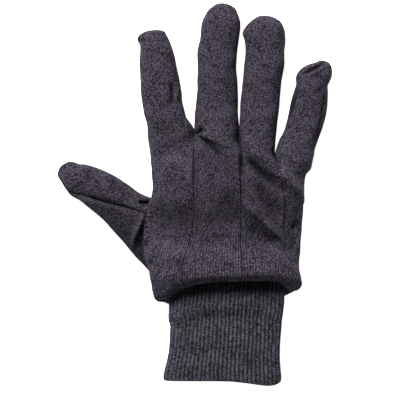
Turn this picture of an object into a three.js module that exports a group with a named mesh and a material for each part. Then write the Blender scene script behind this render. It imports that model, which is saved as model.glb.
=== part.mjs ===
// A knit-wrist cotton jersey work glove, for a right hand, lying palm down with its back up.
// The cloth is a thin wall all over and the glove is hollow from the mouth of the wrist to each fingertip.
// Its cut pieces are a one-piece palm, four back strips sewn along the hand, a two-piece thumb and a
// ribbed wrist. X runs across the hand with the thumb at -X, Y towards the fingertips and Z up.
// Sizes are in millimetres. Tables hold shares of the named sizes.
import * as THREE from "three";

const { clamp, lerp, smoothstep } = THREE.MathUtils;

// Cloth
const JERSEY_WALL = 1.3;
const RIB_WALL = 2.4;
const SEAM_GAP = 0.52;
const SEAM_ALLOWANCE = 3.5;

// Hand part
const PALM_WIDTH = 104;
const BODY_LENGTH = 100;
const BODY_DEPTH = 32;
const FINGER_DEPTH = 17;

// Digits
const INDEX_LENGTH = 76.2;
const INDEX_WIDTH = 26;
const MIDDLE_LENGTH = 91.4;
const MIDDLE_WIDTH = 27;
const RING_LENGTH = 92.6;
const RING_WIDTH = 26.5;
const LITTLE_LENGTH = 71.8;
const LITTLE_WIDTH = 24.5;
const THUMB_REACH = 65;
const THUMB_RISE = 44;
const THUMB_WIDTH = 25;
const THUMB_DEPTH = 16.4;
const THUMB_ROOT_WIDTH = 51;
const THUMB_ROOT = { across: -0.885, up: 0.376 };
const THUMB_SIDE = 0.47;
const THUMB_TIP = 0.88;
const NOTCH_CLEARANCE = 0.8;
const THUMB_CLEARANCE = 1.2;

// Wrist
const CUFF_LENGTH = 63;
const CUFF_WIDTH = 77.6;
const CUFF_DEPTH = 17;
const CUFF_LIFT = 4.8;
const RIB_PITCH = 2.75;
const RIB_RELIEF = 0.5;
const ROLL_REACH = 10;
const CUFF_CLEARANCE = 0.75;

// How round each kind of section is: 2 is an ellipse, more is squarer.
const BODY_ROUND = 2.5;
const FINGER_ROUND = 2.3;
const CUFF_ROUND = 2.6;
const UNDER_ROUND = 3;
const UNDER_FLAT = 1.07;

// How deep the roll hangs as a share of the way from the body's face to the wrist's.
const ROLL_ROUND = 0.7;

// The body from the roll over the wrist (along 0) to the finger roots (along 1): its two sides and the
// three seams between the back strips, as shares of half the palm's width.
const OUTLINE = [
  { along: 0.0, left: -0.915, seam1: -0.537, seam2: 0.219, seam3: 0.869, right: 1.008 },
  { along: 0.12, left: -0.955, seam1: -0.533, seam2: 0.219, seam3: 0.873, right: 0.97 },
  { along: 0.25, left: -1.037, seam1: -0.47, seam2: 0.219, seam3: 0.842, right: 0.98 },
  { along: 0.4, left: -1.05, seam1: -0.41, seam2: 0.219, seam3: 0.808, right: 1.003 },
  { along: 0.55, left: -1.004, seam1: -0.402, seam2: 0.215, seam3: 0.798, right: 1.019 },
  { along: 0.7, left: -0.935, seam1: -0.402, seam2: 0.205, seam3: 0.788, right: 1.035 },
  { along: 0.85, left: -0.94, seam1: -0.402, seam2: 0.195, seam3: 0.721, right: 1.058 },
  { along: 1.0, left: -0.981, seam1: -0.39, seam2: 0.19, seam3: 0.648, right: 1.158 },
];

// The body's heights as shares of its depth: its crown and its side seams. overThumb is how far the
// thumb side rises to lie on the thumb.
const HEIGHTS = [
  { along: 0.0, top: 1.0, leftEdge: 0.46, overThumb: 0, rightEdge: 0.41 },
  { along: 0.12, top: 1.02, leftEdge: 0.46, overThumb: 1, rightEdge: 0.4 },
  { along: 0.25, top: 0.98, leftEdge: 0.44, overThumb: 1, rightEdge: 0.38 },
  { along: 0.4, top: 0.95, leftEdge: 0.42, overThumb: 1, rightEdge: 0.36 },
  { along: 0.55, top: 0.93, leftEdge: 0.4, overThumb: 1, rightEdge: 0.34 },
  { along: 0.7, top: 0.9, leftEdge: 0.36, overThumb: 0.3, rightEdge: 0.31 },
  { along: 0.85, top: 0.82, leftEdge: 0.3, overThumb: 0, rightEdge: 0.28 },
  { along: 1.0, top: 0.7, leftEdge: 0.25, overThumb: 0, rightEdge: 0.25 },
];
const EDGES = ["left", "seam1", "seam2", "seam3", "right"];

// How far up each edge of a back strip the finger starts, as a share of the body's length.
const ROOT_REACH = { left: 0.979, seam1: 1.064, seam2: 1.02, seam3: 0.87, right: 0.884 };

// The roll's lip over the wrist, across the hand, as a share of the roll's reach.
const LIP = [
  { along: -1.0, top: -0.7, under: -0.75 },
  { along: -0.85, top: -0.5, under: -1.0 },
  { along: -0.73, top: -0.2, under: -1.05 },
  { along: -0.6, top: 0.12, under: -0.9 },
  { along: -0.45, top: 0.32, under: -0.8 },
  { along: -0.2, top: 0.43, under: -0.66 },
  { along: 0.1, top: 0.48, under: -0.58 },
  { along: 0.4, top: 0.5, under: -0.5 },
  { along: 0.7, top: 0.48, under: -0.58 },
  { along: 0.87, top: 0.22, under: -0.32 },
  { along: 1.0, top: 0.0, under: 0.0 },
];

// Heights along a finger from root to tip, as shares of the finger's depth.
const FINGER_HEIGHTS = [
  { along: 0.0, crown: 1.3, side: 0.47, under: 0 },
  { along: 0.12, crown: 1.14, side: 0.47, under: 0 },
  { along: 0.3, crown: 1.03, side: 0.47, under: 0 },
  { along: 0.6, crown: 1.0, side: 0.47, under: 0 },
  { along: 0.84, crown: 0.96, side: 0.47, under: 0 },
  { along: 0.92, crown: 0.88, side: 0.47, under: 0.03 },
  { along: 0.97, crown: 0.74, side: 0.47, under: 0.15 },
  { along: 1.0, crown: 0.47, side: 0.47, under: 0.47 },
];

// Each finger from root to tip. reach is its length, tip is how far its tip lies to the side of its
// root as a share of its length, and wide and shift are shares of its width.
const FINGERS = [
  { name: "index", length: INDEX_LENGTH, width: INDEX_WIDTH, lean: -0.155, rows: [
    { along: 0.0, wide: 1.22, shift: 0 },
    { along: 0.15, wide: 1.022, shift: -0.054 },
    { along: 0.25, wide: 1.015, shift: -0.081 },
    { along: 0.33, wide: 1.004, shift: -0.088 },
    { along: 0.44, wide: 1.031, shift: -0.083 },
    { along: 0.55, wide: 0.988, shift: -0.071 },
    { along: 0.75, wide: 0.894, shift: -0.049 },
    { along: 0.88, wide: 0.75, shift: -0.046 },
    { along: 0.94, wide: 0.742, shift: -0.1 },
    { along: 0.97, wide: 0.64, shift: -0.087 },
    { along: 1.0, wide: 0.3, shift: -0.1 },
  ] },
  { name: "middle", length: MIDDLE_LENGTH, width: MIDDLE_WIDTH, lean: 0.035, rows: [
    { along: 0.0, wide: 1.12, shift: 0 },
    { along: 0.155, wide: 1.062, shift: -0.02 },
    { along: 0.334, wide: 1.01, shift: -0.013 },
    { along: 0.44, wide: 0.969, shift: -0.03 },
    { along: 0.529, wide: 0.946, shift: -0.049 },
    { along: 0.63, wide: 0.991, shift: -0.055 },
    { along: 0.723, wide: 0.961, shift: -0.016 },
    { along: 0.858, wide: 0.93, shift: 0.019 },
    { along: 0.933, wide: 0.731, shift: 0.031 },
    { along: 0.965, wide: 0.554, shift: 0.051 },
    { along: 1.0, wide: 0.2, shift: 0.03 },
  ] },
  { name: "ring", length: RING_LENGTH, width: RING_WIDTH, lean: 0.062, rows: [
    { along: 0.0, wide: 0.95, shift: 0 },
    { along: 0.192, wide: 0.935, shift: 0.013 },
    { along: 0.377, wide: 0.969, shift: 0.018 },
    { along: 0.46, wide: 0.973, shift: 0.032 },
    { along: 0.554, wide: 0.963, shift: 0.043 },
    { along: 0.65, wide: 0.988, shift: 0.059 },
    { along: 0.747, wide: 0.969, shift: 0.053 },
    { along: 0.81, wide: 1.023, shift: 0.045 },
    { along: 0.864, wide: 1.062, shift: 0.014 },
    { along: 0.9, wide: 0.996, shift: 0.025 },
    { along: 0.938, wide: 0.84, shift: 0.042 },
    { along: 0.965, wide: 0.664, shift: 0.055 },
    { along: 1.0, wide: 0.28, shift: 0.034 },
  ] },
  { name: "little", length: LITTLE_LENGTH, width: LITTLE_WIDTH, lean: 0.262, rows: [
    { along: 0.0, wide: 1.08, shift: 0 },
    { along: 0.139, wide: 1.018, shift: -0.019 },
    { along: 0.24, wide: 0.966, shift: 0.02 },
    { along: 0.333, wide: 0.956, shift: 0.031 },
    { along: 0.43, wide: 0.978, shift: 0.038 },
    { along: 0.522, wide: 0.994, shift: 0.028 },
    { along: 0.62, wide: 0.964, shift: 0.013 },
    { along: 0.717, wide: 0.878, shift: -0.018 },
    { along: 0.78, wide: 0.876, shift: -0.074 },
    { along: 0.82, wide: 0.886, shift: -0.061 },
    { along: 0.86, wide: 0.853, shift: -0.031 },
    { along: 0.9, wide: 0.753, shift: 0.011 },
    { along: 0.93, wide: 0.624, shift: 0.051 },
    { along: 0.96, wide: 0.445, shift: 0.106 },
    { along: 1.0, wide: 0.2, shift: 0.12 },
  ] },
];

// The thumb from its root inside the body's thumb side to its tip. reach and rise are shares of the
// thumb's reach and rise, wide of its width, high of its depth, turn is the section's direction in
// degrees and seam is the angle of the seam on its upper face.
const THUMB = [
  { along: 0.0, reach: 0, rise: 0, wide: THUMB_ROOT_WIDTH / THUMB_WIDTH, high: 1, turn: 90, seam: 54 },
  { along: 0.06, reach: 0.056, rise: 0.01, wide: 1.96, high: 1, turn: 88, seam: 56 },
  { along: 0.14, reach: 0.14, rise: 0.104, wide: 1.745, high: 1, turn: 84, seam: 61 },
  { along: 0.22, reach: 0.223, rise: 0.203, wide: 1.564, high: 1, turn: 81, seam: 66 },
  { along: 0.3, reach: 0.304, rise: 0.328, wide: 1.355, high: 1.01, turn: 76, seam: 76 },
  { along: 0.38, reach: 0.389, rise: 0.444, wide: 1.215, high: 1.02, turn: 70, seam: 88 },
  { along: 0.46, reach: 0.473, rise: 0.539, wide: 1.147, high: 1.01, turn: 65, seam: 100 },
  { along: 0.55, reach: 0.568, rise: 0.645, wide: 1.078, high: 1, turn: 60, seam: 112 },
  { along: 0.7, reach: 0.703, rise: 0.778, wide: 0.98, high: 0.98, turn: 59, seam: 132 },
  { along: 0.83, reach: 0.83, rise: 0.86, wide: 0.882, high: 0.93, turn: 63, seam: 150 },
  { along: 0.88, reach: 0.88, rise: 0.896, wide: 0.744, high: 0.88, turn: 64, seam: 158 },
  { along: 0.93, reach: 0.925, rise: 0.95, wide: 0.64, high: 0.8, turn: 64, seam: 165 },
  { along: 0.97, reach: 0.965, rise: 0.99, wide: 0.52, high: 0.66, turn: 63, seam: 172 },
  { along: 1.0, reach: 1.022, rise: 1.006, wide: 0.3, high: 0.47, turn: 62, seam: 180 },
];

// The wrist from its sewn end inside the roll (along 0) to its mouth (along 1).
// wide and shift are shares of its width, lift of its lift off the surface and high of its depth.
const CUFF = [
  { along: 0.0, wide: 1.026, lift: 1, high: 0.86, shift: 0.021 },
  { along: 0.28, wide: 1.009, lift: 0.82, high: 0.88, shift: 0.02 },
  { along: 0.5, wide: 0.983, lift: 0.4, high: 0.94, shift: 0.013 },
  { along: 0.68, wide: 0.98, lift: 0.1, high: 0.99, shift: 0.001 },
  { along: 0.88, wide: 1.02, lift: 0, high: 1, shift: -0.013 },
  { along: 1.0, wide: 1.042, lift: 0, high: 0.93, shift: -0.017 },
];

// Folds on the back: a line from one place to another, raised or sunk. across is a share of half the
// palm's width, up of the body's length, half and rise of the body's depth.
const FOLDS = [
  { name: "fork pull", across: -0.38, up: 1.064, acrossTo: -0.17, upTo: 1.097, half: 0.09, rise: 0.05 },
  { name: "fork crease", across: -0.35, up: 1.034, acrossTo: -0.046, upTo: 0.909, half: 0.11, rise: -0.09 },
  { name: "ring crease", across: 0.177, up: 0.979, acrossTo: 0.492, upTo: 0.792, half: 0.12, rise: -0.11 },
  { name: "ring ridge", across: 0.3, up: 1.02, acrossTo: 0.667, upTo: 0.823, half: 0.13, rise: 0.06 },
  { name: "little ridge", across: 0.667, up: 0.823, acrossTo: 1.0, upTo: 0.592, half: 0.13, rise: 0.06 },
  { name: "side ridge", across: 0.373, up: 0.578, acrossTo: 0.837, upTo: 0.328, half: 0.11, rise: 0.07 },
  { name: "side hollow", across: 0.4, up: 0.46, acrossTo: 0.771, upTo: 0.299, half: 0.16, rise: -0.09 },
  { name: "blouse hollow", across: -0.45, up: 0.36, acrossTo: 0.2, upTo: 0.35, half: 0.2, rise: -0.05 },
];

// Grid
const STRIP_COLUMNS = 8;
const BODY_STEPS = { roll: 1, thumb: 5, fork: 4 };
const ROLL_ANGLES = [180, 140, 90, 45];
const FINGER_STEPS = [0.07, 0.15, 0.26, 0.38, 0.5, 0.62, 0.74, 0.84, 0.91, 0.96, 0.985, 1];
const THUMB_STEPS = [0, 0.1, 0.2, 0.3, 0.4, 0.5, 0.6, 0.7, 0.79, 0.87, 0.93, 0.97, 1];
const THUMB_COLUMNS = 10;
const NOTCH_COLUMNS = 4;
const WRIST_SAMPLES = 720;
const WRIST_MIDDLE = 0.5;

// Shares of the body's length over which the back turns down into the forks, its columns spread for the
// fingers and the palm rises beside the thumb, and of a finger's length over which it takes its own width.
const FORK_SHARE = 0.22;
const SPREAD_SHARE = 0.275;
const BESIDE_THUMB = { below: 0.1, above: 0.17 };
const SETTLE_SHARE = 0.2;

// Folds are left off below this share of the body's depth, where the cloth turns under.
const FOLD_FLOOR = 0.3;
const FOLD_FADE = 0.25;

// The share of an outer strip's width over which its folds fade out at the seam.
const FOLD_EDGE = 0.5;

const JERSEY_COLOUR = 0x3a353f;
const RIB_COLOUR = 0x35343b;

// A smooth value of one column of a table at a place along it.
function look(rows, column, at) {
  let k = 0;
  while (k < rows.length - 2 && rows[k + 1].along < at) k++;
  const a = rows[k];
  const b = rows[k + 1];
  const before = rows[k - 1] ?? a;
  const after = rows[k + 2] ?? b;
  const span = b.along - a.along;
  const f = clamp((at - a.along) / span, 0, 1);
  const slopeA = ((b[column] - before[column]) / (b.along - before.along)) * span;
  const slopeB = ((after[column] - a[column]) / (after.along - a.along)) * span;
  return (
    a[column] * (1 + 2 * f) * (1 - f) ** 2 +
    slopeA * f * (1 - f) ** 2 +
    b[column] * f * f * (3 - 2 * f) +
    slopeB * f * f * (f - 1)
  );
}

// The height share of a round section at a place across it, -1 to 1.
function arch(across, round) {
  return Math.max(0, 1 - Math.abs(across) ** round) ** (1 / round);
}

function flatArch(across) {
  return Math.min(1, UNDER_FLAT * arch(across, UNDER_ROUND));
}

// How far the folds lift a point of the back.
function foldLift(x, y) {
  return FOLDS.reduce((sum, fold) => {
    const start = new THREE.Vector2(fold.across * PALM_WIDTH / 2, fold.up * BODY_LENGTH);
    const way = new THREE.Vector2(fold.acrossTo * PALM_WIDTH / 2, fold.upTo * BODY_LENGTH).sub(start);
    const at = new THREE.Vector2(x, y).sub(start);
    const share = clamp(at.dot(way) / way.lengthSq(), 0, 1);
    const away = at.addScaledVector(way, -share).length() / (fold.half * BODY_DEPTH);
    return sum + fold.rise * BODY_DEPTH * Math.exp(-away * away);
  }, 0);
}

// A point on the wrist's section: along the cuff, across it from -1 to 1, over or under, and how far
// outside its own face.
function cuffPoint(along, across, side, y, outset) {
  const half = (look(CUFF, "wide", along) * CUFF_WIDTH) / 2;
  const low = look(CUFF, "lift", along) * CUFF_LIFT;
  const high = low + look(CUFF, "high", along) * CUFF_DEPTH;
  const middle = (low + high) / 2;
  const rise = (high - low) / 2 + outset;
  const round = arch(across, CUFF_ROUND);
  const z = middle + (side === "top" ? rise : -rise) * round;
  return new THREE.Vector3(look(CUFF, "shift", along) * CUFF_WIDTH + across * (half + outset), y, z);
}

// The body's outline at a share of the way up.
function bodyAcross(x, along) {
  const left = (look(OUTLINE, "left", along) * PALM_WIDTH) / 2;
  const right = (look(OUTLINE, "right", along) * PALM_WIDTH) / 2;
  return clamp((2 * x - left - right) / (right - left), -1, 1);
}

function bodyEdge(across, along) {
  if (across > 0) return look(HEIGHTS, "rightEdge", along) * BODY_DEPTH;
  const free = look(HEIGHTS, "leftEdge", along) * BODY_DEPTH;
  return lerp(free, THUMB_DEPTH + THUMB_CLEARANCE, look(HEIGHTS, "overThumb", along));
}

function bodyHeight(across, along, side) {
  const edge = bodyEdge(across, along);
  if (side === "under") return edge * (1 - flatArch(across));
  const top = look(HEIGHTS, "top", along) * BODY_DEPTH;
  return edge + (top - edge) * arch(across, BODY_ROUND);
}

// The roll at one place across the hand: where it leaves the body, where it meets the wrist, and how
// far it hangs over.
function rollAt(x, side) {
  const across = bodyAcross(x, 0);
  const outer = new THREE.Vector3(x, 0, bodyHeight(across, 0, side));
  const inner = cuffPoint(0, across, side, 0, CUFF_CLEARANCE);
  const hang = ROLL_ROUND * Math.hypot(outer.x - inner.x, outer.z - inner.z);
  outer.y = look(LIP, side, across) * ROLL_REACH + hang;
  inner.y = outer.y;
  return { outer, inner, hang };
}

function edgeX(name, along) {
  return (look(OUTLINE, name, along) * PALM_WIDTH) / 2;
}

const lastStrip = FINGERS.length - 1;

// The thumb's root is a straight line up the palm, and the palm is cut away outside it.
const notchX = (THUMB_ROOT.across * PALM_WIDTH) / 2;
const notchMiddle = THUMB_ROOT.up * BODY_LENGTH;
const notchHalf = THUMB_ROOT_WIDTH / 2 + NOTCH_CLEARANCE;

// How far along the palm the place on the thumb's line is whose y is given.
function alongAtRoot(y) {
  const start = rollAt(notchX, "under").outer.y;
  return (y - start) / (ROOT_REACH.left * BODY_LENGTH - start);
}

const notchFrom = alongAtRoot(notchMiddle - notchHalf);
const notchTo = alongAtRoot(notchMiddle + notchHalf);

// The body's rows, with one at each end of the thumb's root.
const bodyRows = [
  { from: 0, to: notchFrom, steps: BODY_STEPS.roll },
  { from: notchFrom, to: notchTo, steps: BODY_STEPS.thumb },
  { from: notchTo, to: 1, steps: BODY_STEPS.fork },
].flatMap(({ from, to, steps }) => Array.from({ length: steps }, (_, k) => lerp(from, to, k / steps)));
bodyRows.push(1);

// Across a strip, points crowd towards the edge that turns down. Column NOTCH_COLUMNS of the palm's
// first strip follows the thumb's root.
function spreadAcross(strip, side, along, share) {
  if (strip === 0 && side === "under") {
    const notch = (notchX - edgeX("left", along)) / (edgeX("seam1", along) - edgeX("left", along));
    const column = NOTCH_COLUMNS / STRIP_COLUMNS;
    if (share <= column) return notch * (1 - Math.cos((share / column) * (Math.PI / 2)));
    return lerp(notch, 1, (share - column) / (1 - column));
  }
  if (strip === 0) return 1 - Math.cos((share * Math.PI) / 2);
  if (strip === lastStrip) return Math.sin((share * Math.PI) / 2);
  return share;
}

// Beside the thumb the palm lies flat as far as the thumb's root.
function besideThumb(along) {
  const rise = smoothstep(along, notchFrom - BESIDE_THUMB.below, notchFrom);
  return rise * (1 - smoothstep(along, notchTo, notchTo + BESIDE_THUMB.above));
}

function fingerHeight(side, along, across) {
  const edge = look(FINGER_HEIGHTS, "side", along) * FINGER_DEPTH;
  if (side === "under") {
    const low = Math.max(0, look(FINGER_HEIGHTS, "under", along)) * FINGER_DEPTH;
    return edge - (edge - low) * flatArch(across);
  }
  const crown = look(FINGER_HEIGHTS, "crown", along) * FINGER_DEPTH;
  return edge + Math.max(0, crown - edge) * arch(across, FINGER_ROUND);
}

// A point of strip number strip on the body, along from the roll to the finger root.
function bodyPoint(strip, side, along, share) {
  const turned = (1 + Math.sin((share - 0.5) * Math.PI)) / 2;
  const spread = smoothstep(along, 1 - SPREAD_SHARE, 1);
  const q = lerp(spreadAcross(strip, side, along, share), turned, spread);
  const [left, right] = [EDGES[strip], EDGES[strip + 1]];
  const x = lerp(edgeX(left, along), edgeX(right, along), q);
  const start = rollAt(lerp(edgeX(left, 0), edgeX(right, 0), q), side).outer.y;
  const end = lerp(ROOT_REACH[left], ROOT_REACH[right], q) * BODY_LENGTH;
  const y = lerp(start, end, along);
  const height = bodyHeight(bodyAcross(x, along), along, side);
  const flat = strip === 0 && side === "under" ? smoothstep(share, 0, NOTCH_COLUMNS / STRIP_COLUMNS) : 0;
  const laid = height * (1 - flat * besideThumb(along));
  const z = lerp(laid, fingerHeight(side, 0, 2 * q - 1), smoothstep(along, 1 - FORK_SHARE, 1));
  return new THREE.Vector3(x, y, z);
}

// The line of a finger: its root, its direction and the direction across it.
function fingerLine(strip) {
  const finger = FINGERS[strip];
  const corners = [EDGES[strip], EDGES[strip + 1]].map(
    (name) => new THREE.Vector2(edgeX(name, 1), ROOT_REACH[name] * BODY_LENGTH),
  );
  const root = corners[0].clone().lerp(corners[1], 0.5);
  const angle = Math.asin(finger.lean);
  const way = new THREE.Vector2(Math.sin(angle), Math.cos(angle));
  const across = new THREE.Vector2(way.y, -way.x);
  return { finger, corners, root, way, across };
}

// A point of a finger, along from root to tip.
function fingerPoint(strip, side, along, share) {
  const { finger, corners, root, way, across } = fingerLine(strip);
  const u = Math.sin((share - 0.5) * Math.PI);
  const wide = look(finger.rows, "wide", along) * finger.width;
  const shift = look(finger.rows, "shift", along) * finger.width;
  const settle = smoothstep(along, 0, SETTLE_SHARE);
  const ends = corners.map((corner, k) => {
    const from = corner.clone().sub(root);
    const offset = lerp(from.dot(across), shift + ((k - 0.5) * wide), settle);
    const ahead = along * finger.length + from.dot(way) * (1 - settle);
    return root.clone().addScaledVector(across, offset).addScaledVector(way, ahead);
  });
  const place = ends[0].lerp(ends[1], (1 + u) / 2);
  return new THREE.Vector3(place.x, place.y, fingerHeight(side, along, u));
}

// All rows of one strip, over or under, from the sewn end in the roll to the fingertip.
function stripRows(strip, side, columns) {
  const shares = Array.from({ length: columns + 1 }, (_, k) => k / columns);
  const rows = [];
  const roll = (angle, extra) =>
    shares.map((share) => {
      const base = bodyPoint(strip, side, 0, share);
      const { inner, hang } = rollAt(base.x, side);
      const turn = THREE.MathUtils.degToRad(angle);
      const f = (1 - Math.cos(turn)) / 2;
      return new THREE.Vector3(
        lerp(base.x, inner.x, f),
        base.y - hang * Math.sin(turn) + extra,
        lerp(base.z, inner.z, f),
      );
    });
  rows.push(roll(180, SEAM_ALLOWANCE));
  for (const angle of ROLL_ANGLES) rows.push(roll(angle, 0));
  for (const along of bodyRows) rows.push(shares.map((share) => bodyPoint(strip, side, along, share)));
  for (const along of FINGER_STEPS) rows.push(shares.map((share) => fingerPoint(strip, side, along, share)));
  return rows;
}

// Folds fade out at the outer seams, so the edges stay where they are sewn.
function foldBack(rows, strip) {
  rows.forEach((row) =>
    row.forEach((point, k) => {
      const share = k / (row.length - 1);
      const keep = strip === 0 ? share : strip === lastStrip ? 1 - share : 1;
      const raised = clamp((point.z / BODY_DEPTH - FOLD_FLOOR) / FOLD_FADE, 0, 1);
      point.z += foldLift(point.x, point.y) * Math.min(1, keep / FOLD_EDGE) * raised;
    }),
  );
}

function placeKey(p) {
  return [p.x, p.y, p.z].map((v) => v.toFixed(3)).join(" ");
}

// The direction out of the cloth at each place, shared by all panels that are sewn together there.
function skinNormals(panels) {
  const normals = new Map();
  for (const [a, b, c, d] of panels.flat()) {
    const normal = c.clone().sub(a).cross(d.clone().sub(b));
    for (const p of [a, b, c, d]) {
      const key = placeKey(p);
      normals.set(key, (normals.get(key) ?? new THREE.Vector3()).add(normal));
    }
  }
  normals.forEach((normal) => normal.normalize());
  return normals;
}

// A cloth panel as a closed solid: its outer face is a set of quads, its inner face lies one wall
// inside, and it stops half a seam gap short of its rim, but no lower than the surface it lies on.
function clothSolid(quads, skin, wall) {
  const points = [];
  const normals = [];
  const index = new Map();
  const faces = quads.map((quad) =>
    quad.map((p) => {
      const key = placeKey(p);
      if (!index.has(key)) {
        index.set(key, points.push(p.clone()) - 1);
        normals.push(skin.get(key));
      }
      return index.get(key);
    }),
  );
  const sides = new Map();
  for (const face of faces) {
    const middle = face.reduce((sum, k) => sum.addScaledVector(points[k], 0.25), new THREE.Vector3());
    face.forEach((k, n) => sides.set(k + " " + face[(n + 1) % 4], [k, face[(n + 1) % 4], middle]));
  }
  const rim = [...sides.values()].filter(([a, b]) => !sides.has(b + " " + a));
  const inward = new Map();
  for (const [a, b, middle] of rim) {
    const way = points[b].clone().sub(points[a]).normalize();
    const turn = middle.clone().sub(points[a]);
    turn.addScaledVector(way, -turn.dot(way)).normalize();
    for (const k of [a, b]) inward.set(k, (inward.get(k) ?? new THREE.Vector3()).add(turn));
  }
  inward.forEach((way, k) => {
    points[k].addScaledVector(way.normalize(), SEAM_GAP / 2);
    points[k].setZ(Math.max(points[k].z, 0));
  });
  const inner = points.map((p, k) => p.clone().addScaledVector(normals[k], -wall));
  const offset = points.length;
  const triangles = [];
  for (const [a, b, c, d] of faces) {
    triangles.push(a, b, c, a, c, d);
    triangles.push(a + offset, c + offset, b + offset, a + offset, d + offset, c + offset);
  }
  for (const [a, b] of rim) triangles.push(b, a, a + offset, b, a + offset, b + offset);
  return solid([...points, ...inner], triangles);
}

function solid(points, triangles) {
  const geometry = new THREE.BufferGeometry();
  const places = points.flatMap((p) => [p.x, p.y, p.z]);
  geometry.setAttribute("position", new THREE.Float32BufferAttribute(places, 3));
  geometry.setIndex(triangles);
  geometry.computeVertexNormals();
  return geometry;
}

function quadsOf(rows, facesUp, keep = () => true) {
  const quads = [];
  for (let r = 0; r < rows.length - 1; r++) {
    for (let c = 0; c < rows[r].length - 1; c++) {
      if (!keep(r, c)) continue;
      const quad = [rows[r][c], rows[r][c + 1], rows[r + 1][c + 1], rows[r + 1][c]];
      quads.push(facesUp ? quad : quad.reverse());
    }
  }
  return quads;
}

function mesh(name, geometry, colour) {
  const material = new THREE.MeshStandardMaterial({ color: colour, roughness: 0.95, metalness: 0 });
  const made = new THREE.Mesh(geometry, material);
  made.name = name;
  return made;
}

function backQuads(strip) {
  const rows = stripRows(strip, "top", STRIP_COLUMNS);
  foldBack(rows, strip);
  return quadsOf(rows, true);
}

// The palm and the fronts of the four fingers are one piece, with a notch for the thumb.
function palmQuads() {
  const firstCut = ROLL_ANGLES.length + 1 + BODY_STEPS.roll;
  const cut = (row, column) => row >= firstCut && row < firstCut + BODY_STEPS.thumb && column < NOTCH_COLUMNS;
  return FINGERS.flatMap((_, strip) =>
    quadsOf(stripRows(strip, "under", STRIP_COLUMNS), false, (row, column) => strip > 0 || !cut(row, column)),
  );
}

// A set of panels sewn to each other along their shared edges.
function sewn(panels) {
  const skin = skinNormals(Object.values(panels));
  return Object.entries(panels).map(([name, quads]) =>
    mesh(name, clothSolid(quads, skin, JERSEY_WALL), JERSEY_COLOUR),
  );
}

// A point of the thumb: along from root to tip, at an angle round it from its upper edge.
function thumbPoint(along, degrees) {
  const turn = THREE.MathUtils.degToRad(look(THUMB, "turn", along));
  const angle = THREE.MathUtils.degToRad(degrees);
  const half = (look(THUMB, "wide", along) * THUMB_WIDTH) / 2;
  const u = Math.cos(angle);
  const high = look(THUMB, "high", along) * THUMB_DEPTH;
  const side = THUMB_SIDE * THUMB_DEPTH;
  const low = side * smoothstep(along, THUMB_TIP, 1);
  const over = Math.sin(angle) >= 0;
  const z = over ? side + (high - side) * arch(u, FINGER_ROUND) : side - (side - low) * flatArch(u);
  return new THREE.Vector3(
    notchX - SEAM_GAP / 2 - look(THUMB, "reach", along) * THUMB_REACH + u * half * Math.cos(turn),
    notchMiddle + look(THUMB, "rise", along) * THUMB_RISE + u * half * Math.sin(turn),
    z,
  );
}

// The quads of the thumb between two angles round it.
function thumbQuads(from, to) {
  const rows = THUMB_STEPS.map((along) => {
    const [start, end] = [from(along), to(along)];
    return Array.from({ length: THUMB_COLUMNS + 1 }, (_, k) =>
      thumbPoint(along, lerp(start, end, k / THUMB_COLUMNS)),
    );
  });
  return quadsOf(rows, false);
}

// A place round the wrist's section: across it from -1 to 1, and over or under.
function roundWrist(angle) {
  const across = -Math.sign(Math.cos(angle)) * Math.abs(Math.cos(angle)) ** (2 / CUFF_ROUND);
  return { across, side: Math.sin(angle) >= 0 ? "top" : "under" };
}

// Two places a rib, one on its crest and one in the groove beside it, evenly spaced round the wrist.
function ribPlaces() {
  const angles = Array.from({ length: WRIST_SAMPLES + 1 }, (_, k) => (k / WRIST_SAMPLES) * 2 * Math.PI);
  const around = [0];
  const section = angles.map((angle) => {
    const { across, side } = roundWrist(angle);
    return cuffPoint(WRIST_MIDDLE, across, side, 0, 0);
  });
  for (let k = 1; k < section.length; k++) around.push(around[k - 1] + section[k].distanceTo(section[k - 1]));
  const whole = around[WRIST_SAMPLES];
  const count = 2 * Math.round(whole / RIB_PITCH);
  return Array.from({ length: count }, (_, place) => {
    const at = (place / count) * whole;
    const k = around.findIndex((length) => length > at);
    const share = (at - around[k - 1]) / (around[k] - around[k - 1]);
    return roundWrist(lerp(angles[k - 1], angles[k], share));
  });
}

// The ribbed wrist: ribs all round, outside and in, from the sewn end to the mouth.
function knitWrist() {
  const places = ribPlaces();
  const count = places.length;
  const ring = (along, inset) =>
    places.map(({ across, side }, k) => {
      const relief = k % 2 ? RIB_RELIEF : 0;
      const sewn = rollAt(lerp(edgeX("left", 0), edgeX("right", 0), (across + 1) / 2), side).outer.y;
      const y = lerp(sewn + SEAM_ALLOWANCE + CUFF_CLEARANCE, -CUFF_LENGTH, along);
      return cuffPoint(along, across, side, y, -relief - inset);
    });
  const outer = CUFF.map((row) => ring(row.along, 0));
  const inner = CUFF.map((row) => ring(row.along, RIB_WALL - RIB_RELIEF));
  const loops = [...outer, ...inner.reverse()];
  const triangles = [];
  loops.forEach((_, l) => {
    for (let k = 0; k < count; k++) {
      const next = (k + 1) % count;
      const [a, b] = [l * count + k, l * count + next];
      const after = ((l + 1) % loops.length) * count;
      triangles.push(a, after + k, b, b, after + k, after + next);
    }
  });
  return mesh("knit_wrist", solid(loops.flat(), triangles), RIB_COLOUR);
}

const seamAngle = (along) => look(THUMB, "seam", along);
const backs = Object.fromEntries(FINGERS.map((finger, strip) => ["back_" + finger.name, backQuads(strip)]));
const glove = new THREE.Group();
glove.add(...sewn({ palm: palmQuads(), ...backs }));
glove.add(
  ...sewn({
    thumb_back: thumbQuads(() => 0, seamAngle),
    thumb_front: thumbQuads(seamAngle, () => 360),
  }),
);
glove.add(knitWrist());

// The origin is under the middle of the whole glove, on the surface it lies on.
const box = new THREE.Box3().setFromObject(glove);
const centre = box.getCenter(new THREE.Vector3());
glove.position.set(-centre.x, -centre.y, -box.min.z);

export default glove;
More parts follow.
